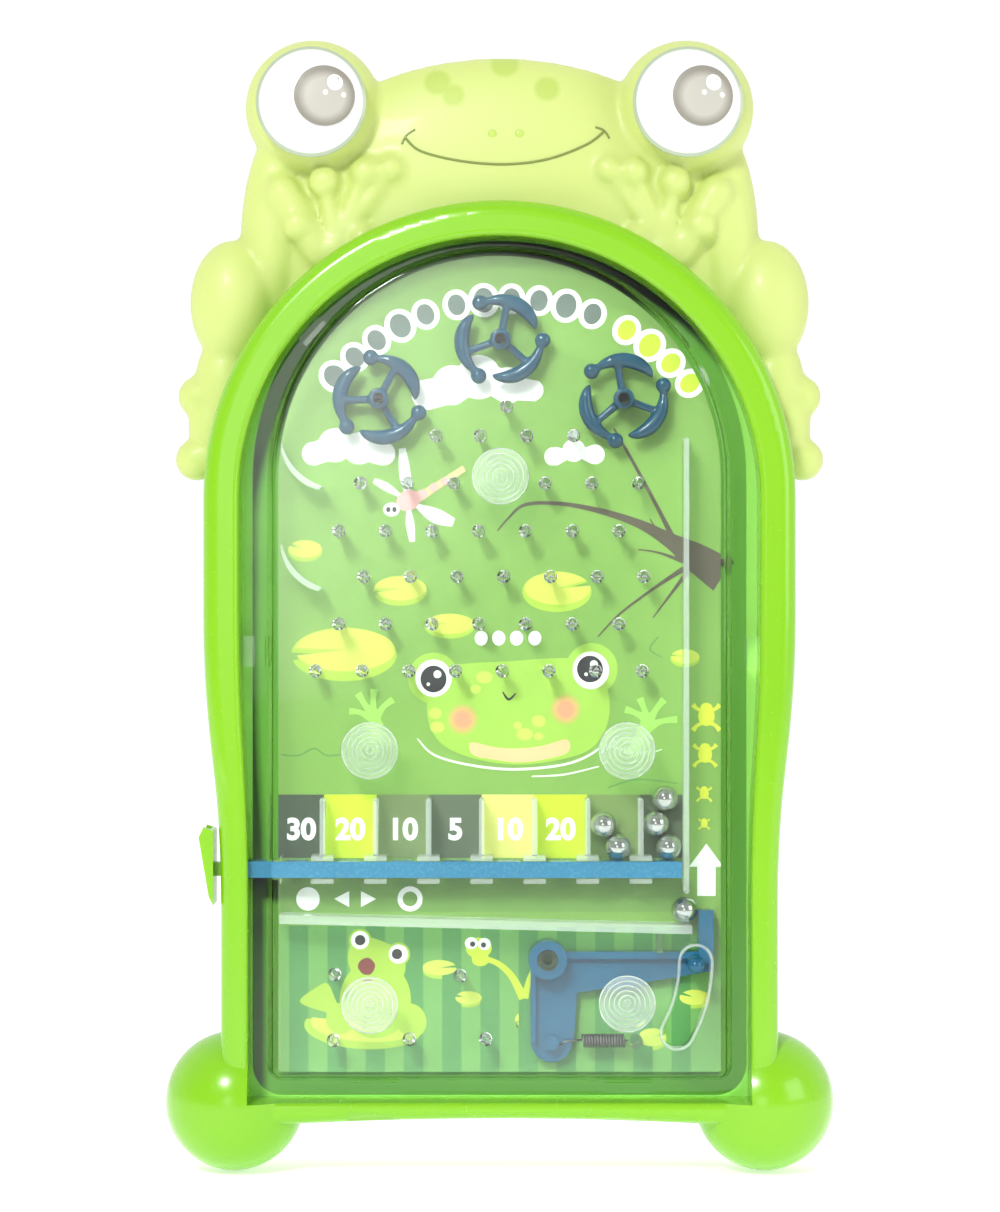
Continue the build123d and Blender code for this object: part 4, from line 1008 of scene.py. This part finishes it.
def on_frog(x, z):
    """The point of the frog's front that lies behind x and z in mm, in metres."""
    start = Vector((x * MM, in_front, z * MM))
    hit, place, _, _ = frog_pieces["frog_front"].ray_cast(start, backwards)
    return place if hit else Vector((x * MM, frog_low.y, z * MM))


def face_line(name, points, half_width):
    """A raised line of ink on the frog's front, through points of x and height over the arch."""
    line = smooth_run([(x, frog_z + rise) for x, rise in points], False, 6)
    return tube(name, [on_frog(x, z) for x, z in line], half_width * MM)


smile = made_one("frog_smile", [
    face_line("frog_smile", [
        (-21.6, 82.4), (-18, 79.3), (-9, 77.0), (1.2, 76.2), (11, 77.4), (20, 80.9), (24.2, 84.2),
    ], 0.3),
    face_line("tick_left", [(-22.4, 81.0), (-21.4, 83.0), (-19.4, 84.4)], 0.26),
    face_line("tick_right", [(22.0, 85.0), (24.0, 84.2), (25.2, 82.4)], 0.26),
])
smile.data.shade_smooth()


def domed_pad(place, facing, rx, thickness, rz, sides):
    """Adds a round pad at a place: a flattened ball turned to face out, cut flat behind."""
    bpy.ops.mesh.primitive_uv_sphere_add(
        segments=sides, ring_count=12, radius=1.0, location=place,
        scale=(rx * MM, thickness * MM, rz * MM),
        rotation=facing.to_track_quat("-Y", "Z").to_euler(),
    )
    bpy.context.view_layer.update()
    bpy.ops.object.mode_set(mode="EDIT")
    bpy.ops.mesh.select_all(action="SELECT")
    bpy.ops.mesh.bisect(plane_co=place, plane_no=facing, use_fill=True, clear_inner=True)
    bpy.ops.object.mode_set(mode="OBJECT")
    return bpy.context.object


nostrils = made_one("frog_nostrils", [
    domed_pad(on_frog(x, frog_z + 83.3), -backwards, 1.0, 0.25, 0.95, 24) for x in (-1.6, 4.6)
])
nostrils.data.shade_smooth()
nostril_ink = moulded_plastic("nostril_ink", (182, 208, 92), (190, 214, 100), 0.5)
for piece, finish in ((smile, olive), (nostrils, nostril_ink)):
    finish_with(finish, piece)
    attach(piece, "housing")

eye_low, eye_high = map(Vector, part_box("eye_whites"))
pupil_low, pupil_high = map(Vector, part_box("eye_pupils"))
eye_r = (eye_high.z - eye_low.z) / 2
pupil_r = (pupil_high.z - pupil_low.z) / 2
eye_z = (eye_low.z + eye_high.z) / 2
pupil_z = (pupil_low.z + pupil_high.z) / 2
eye_xs = [(eye_low.x + eye_r) / MM, (eye_high.x - eye_r) / MM]
pupil_xs = [(pupil_low.x + pupil_r) / MM, (pupil_high.x - pupil_r) / MM]
eye_white = moulded_plastic("eye_white_gloss", (170, 184, 160), (176, 190, 164), 0.18)
add_marks(eye_white, (250, 251, 250), [(x, eye_z / MM, eye_r / MM - 1.0) for x in eye_xs], 0.35)
repaint(eye_white, "eye_whites")
eye_dark = moulded_plastic(
    "eye_pupil_gloss", (140, 136, 124), (148, 144, 132), 0.45, lacquer=0.0)
add_marks(eye_dark, (190, 188, 176), [
    (x + 0.2, pupil_z / MM - 0.3, pupil_r / MM - 2.6) for x in pupil_xs
], 1.9)
repaint(eye_dark, "eye_pupils")
glints = []
for x in pupil_xs:
    for dx, dz, r in ((2.4, 2.9, 1.9), (0.3, 0.6, 0.6), (4.4, 0.1, 0.6)):
        start = Vector(((x + dx) * MM, in_front, pupil_z + dz * MM))
        _, place, normal, _ = nodes["eye_pupils"].ray_cast(start, backwards)
        glints.append(domed_pad(place, normal, r, 0.12, r, 32))
glints = made_one("eye_glints", glints)
glints.data.shade_smooth()
finish_with(moulded_plastic("glint_white", (250, 251, 250), (253, 253, 252), 0.2), glints)
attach(glints, "housing")

# STUDIO: a white table and backdrop, a big soft lamp high on the left, a weaker one on
# the right, and a camera straight in front at the height of the playfield's middle.
floor_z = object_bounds()[0][2] - 0.0003
bpy.ops.mesh.primitive_plane_add(size=8, location=(0, 0, floor_z))
floor = bpy.context.object
floor.name = "studio_floor"
paper = moulded_plastic(
    "studio_paper_painted_light", (250, 250, 250), (253, 253, 253), 0.8, 3.0, 400.0, 0.02, lacquer=0.0)
made, links = paper.node_tree.nodes, paper.node_tree.links
sheen = made["Principled BSDF"]
# Painted light and shade on the table: towards the front its colour is mixed down to grey and its
# emission turned low, and near and behind the toy it glows with painted light from its own
# emission.
place = made.new("ShaderNodeTexCoord")
split = made.new("ShaderNodeSeparateXYZ")
lit = made.new("ShaderNodeMapRange")
lit.interpolation_type = "SMOOTHSTEP"
preset(lit, {"From Min": -0.75, "From Max": -0.12})
# Painted shade: the table's colour goes grey towards the front.
painted_front_shade = made.new("ShaderNodeMix")
painted_front_shade.data_type = "RGBA"
preset(painted_front_shade, {6: (0.36, 0.36, 0.36, 1)})
# Painted light: the table's emission, weak at the front and full near and behind the toy.
glow = made.new("ShaderNodeMix")
glow.data_type = "RGBA"
preset(glow, {6: (0.1, 0.1, 0.1, 1), 7: (1, 1, 1, 1)})
links.new(place.outputs["Object"], split.inputs["Vector"])
links.new(split.outputs["Y"], lit.inputs["Value"])
links.new(sheen.inputs["Base Color"].links[0].from_socket, painted_front_shade.inputs[7])
links.new(lit.outputs["Result"], painted_front_shade.inputs[0])
links.new(lit.outputs["Result"], glow.inputs[0])
links.new(painted_front_shade.outputs[2], sheen.inputs["Base Color"])
links.new(glow.outputs[2], sheen.inputs["Emission Color"])
preset(sheen, {"Emission Strength": 0.45})
floor.data.materials.append(paper)

world = bpy.data.worlds.new("studio")
bpy.context.scene.world = world
world.use_nodes = True
made, links = world.node_tree.nodes, world.node_tree.links
look = made.new("ShaderNodeTexCoord")
split = made.new("ShaderNodeSeparateXYZ")
depth = made.new("ShaderNodeMapRange")
preset(depth, {"From Min": -0.5, "From Max": 0.4, "To Min": 0.42, "To Max": 1.02})
toward = made.new("ShaderNodeVectorMath")
toward.operation = "DOT_PRODUCT"
preset(toward, {1: Vector((-0.135, -1.0, 0.11)).normalized()})
veil = made.new("ShaderNodeMapRange")
veil.interpolation_type = "SMOOTHSTEP"
preset(veil, {"From Min": math.cos(math.radians(10.5)), "From Max": 1.0, "To Max": 2.6})
total = made.new("ShaderNodeMath")
links.new(look.outputs["Generated"], split.inputs["Vector"])
links.new(split.outputs["Y"], depth.inputs["Value"])
links.new(look.outputs["Generated"], toward.inputs[0])
links.new(toward.outputs["Value"], veil.inputs["Value"])
links.new(depth.outputs["Result"], total.inputs[0])
links.new(veil.outputs["Result"], total.inputs[1])
links.new(total.outputs["Value"], made["Background"].inputs["Strength"])
preset(made["Background"], {"Color": (1, 1, 1, 1)})

eye_level = 0.13
for name, place, size, watts in (
    ("key_lamp", (-0.36, -1.0, 0.8), 0.18, 9.5),
    ("side_lamp", (0.75, -0.55, 0.35), 0.5, 2.0),
):
    lamp = bpy.data.lights.new(name, "AREA")
    lamp.size = size
    lamp.energy = watts
    holder = stood_in(name, lamp)
    holder.location = place
    aim = Vector((0, 0, eye_level)) - Vector(place)
    holder.rotation_euler = aim.to_track_quat("-Z", "Y").to_euler()

camera = stood_in("camera", bpy.data.cameras.new("camera"))
camera.data.lens = 100
camera.location = (0.0001, -0.777, eye_level)
camera.rotation_euler = (math.radians(90), 0, 0)
bpy.context.scene.camera = camera
bpy.context.scene.view_settings.view_transform = "Standard"
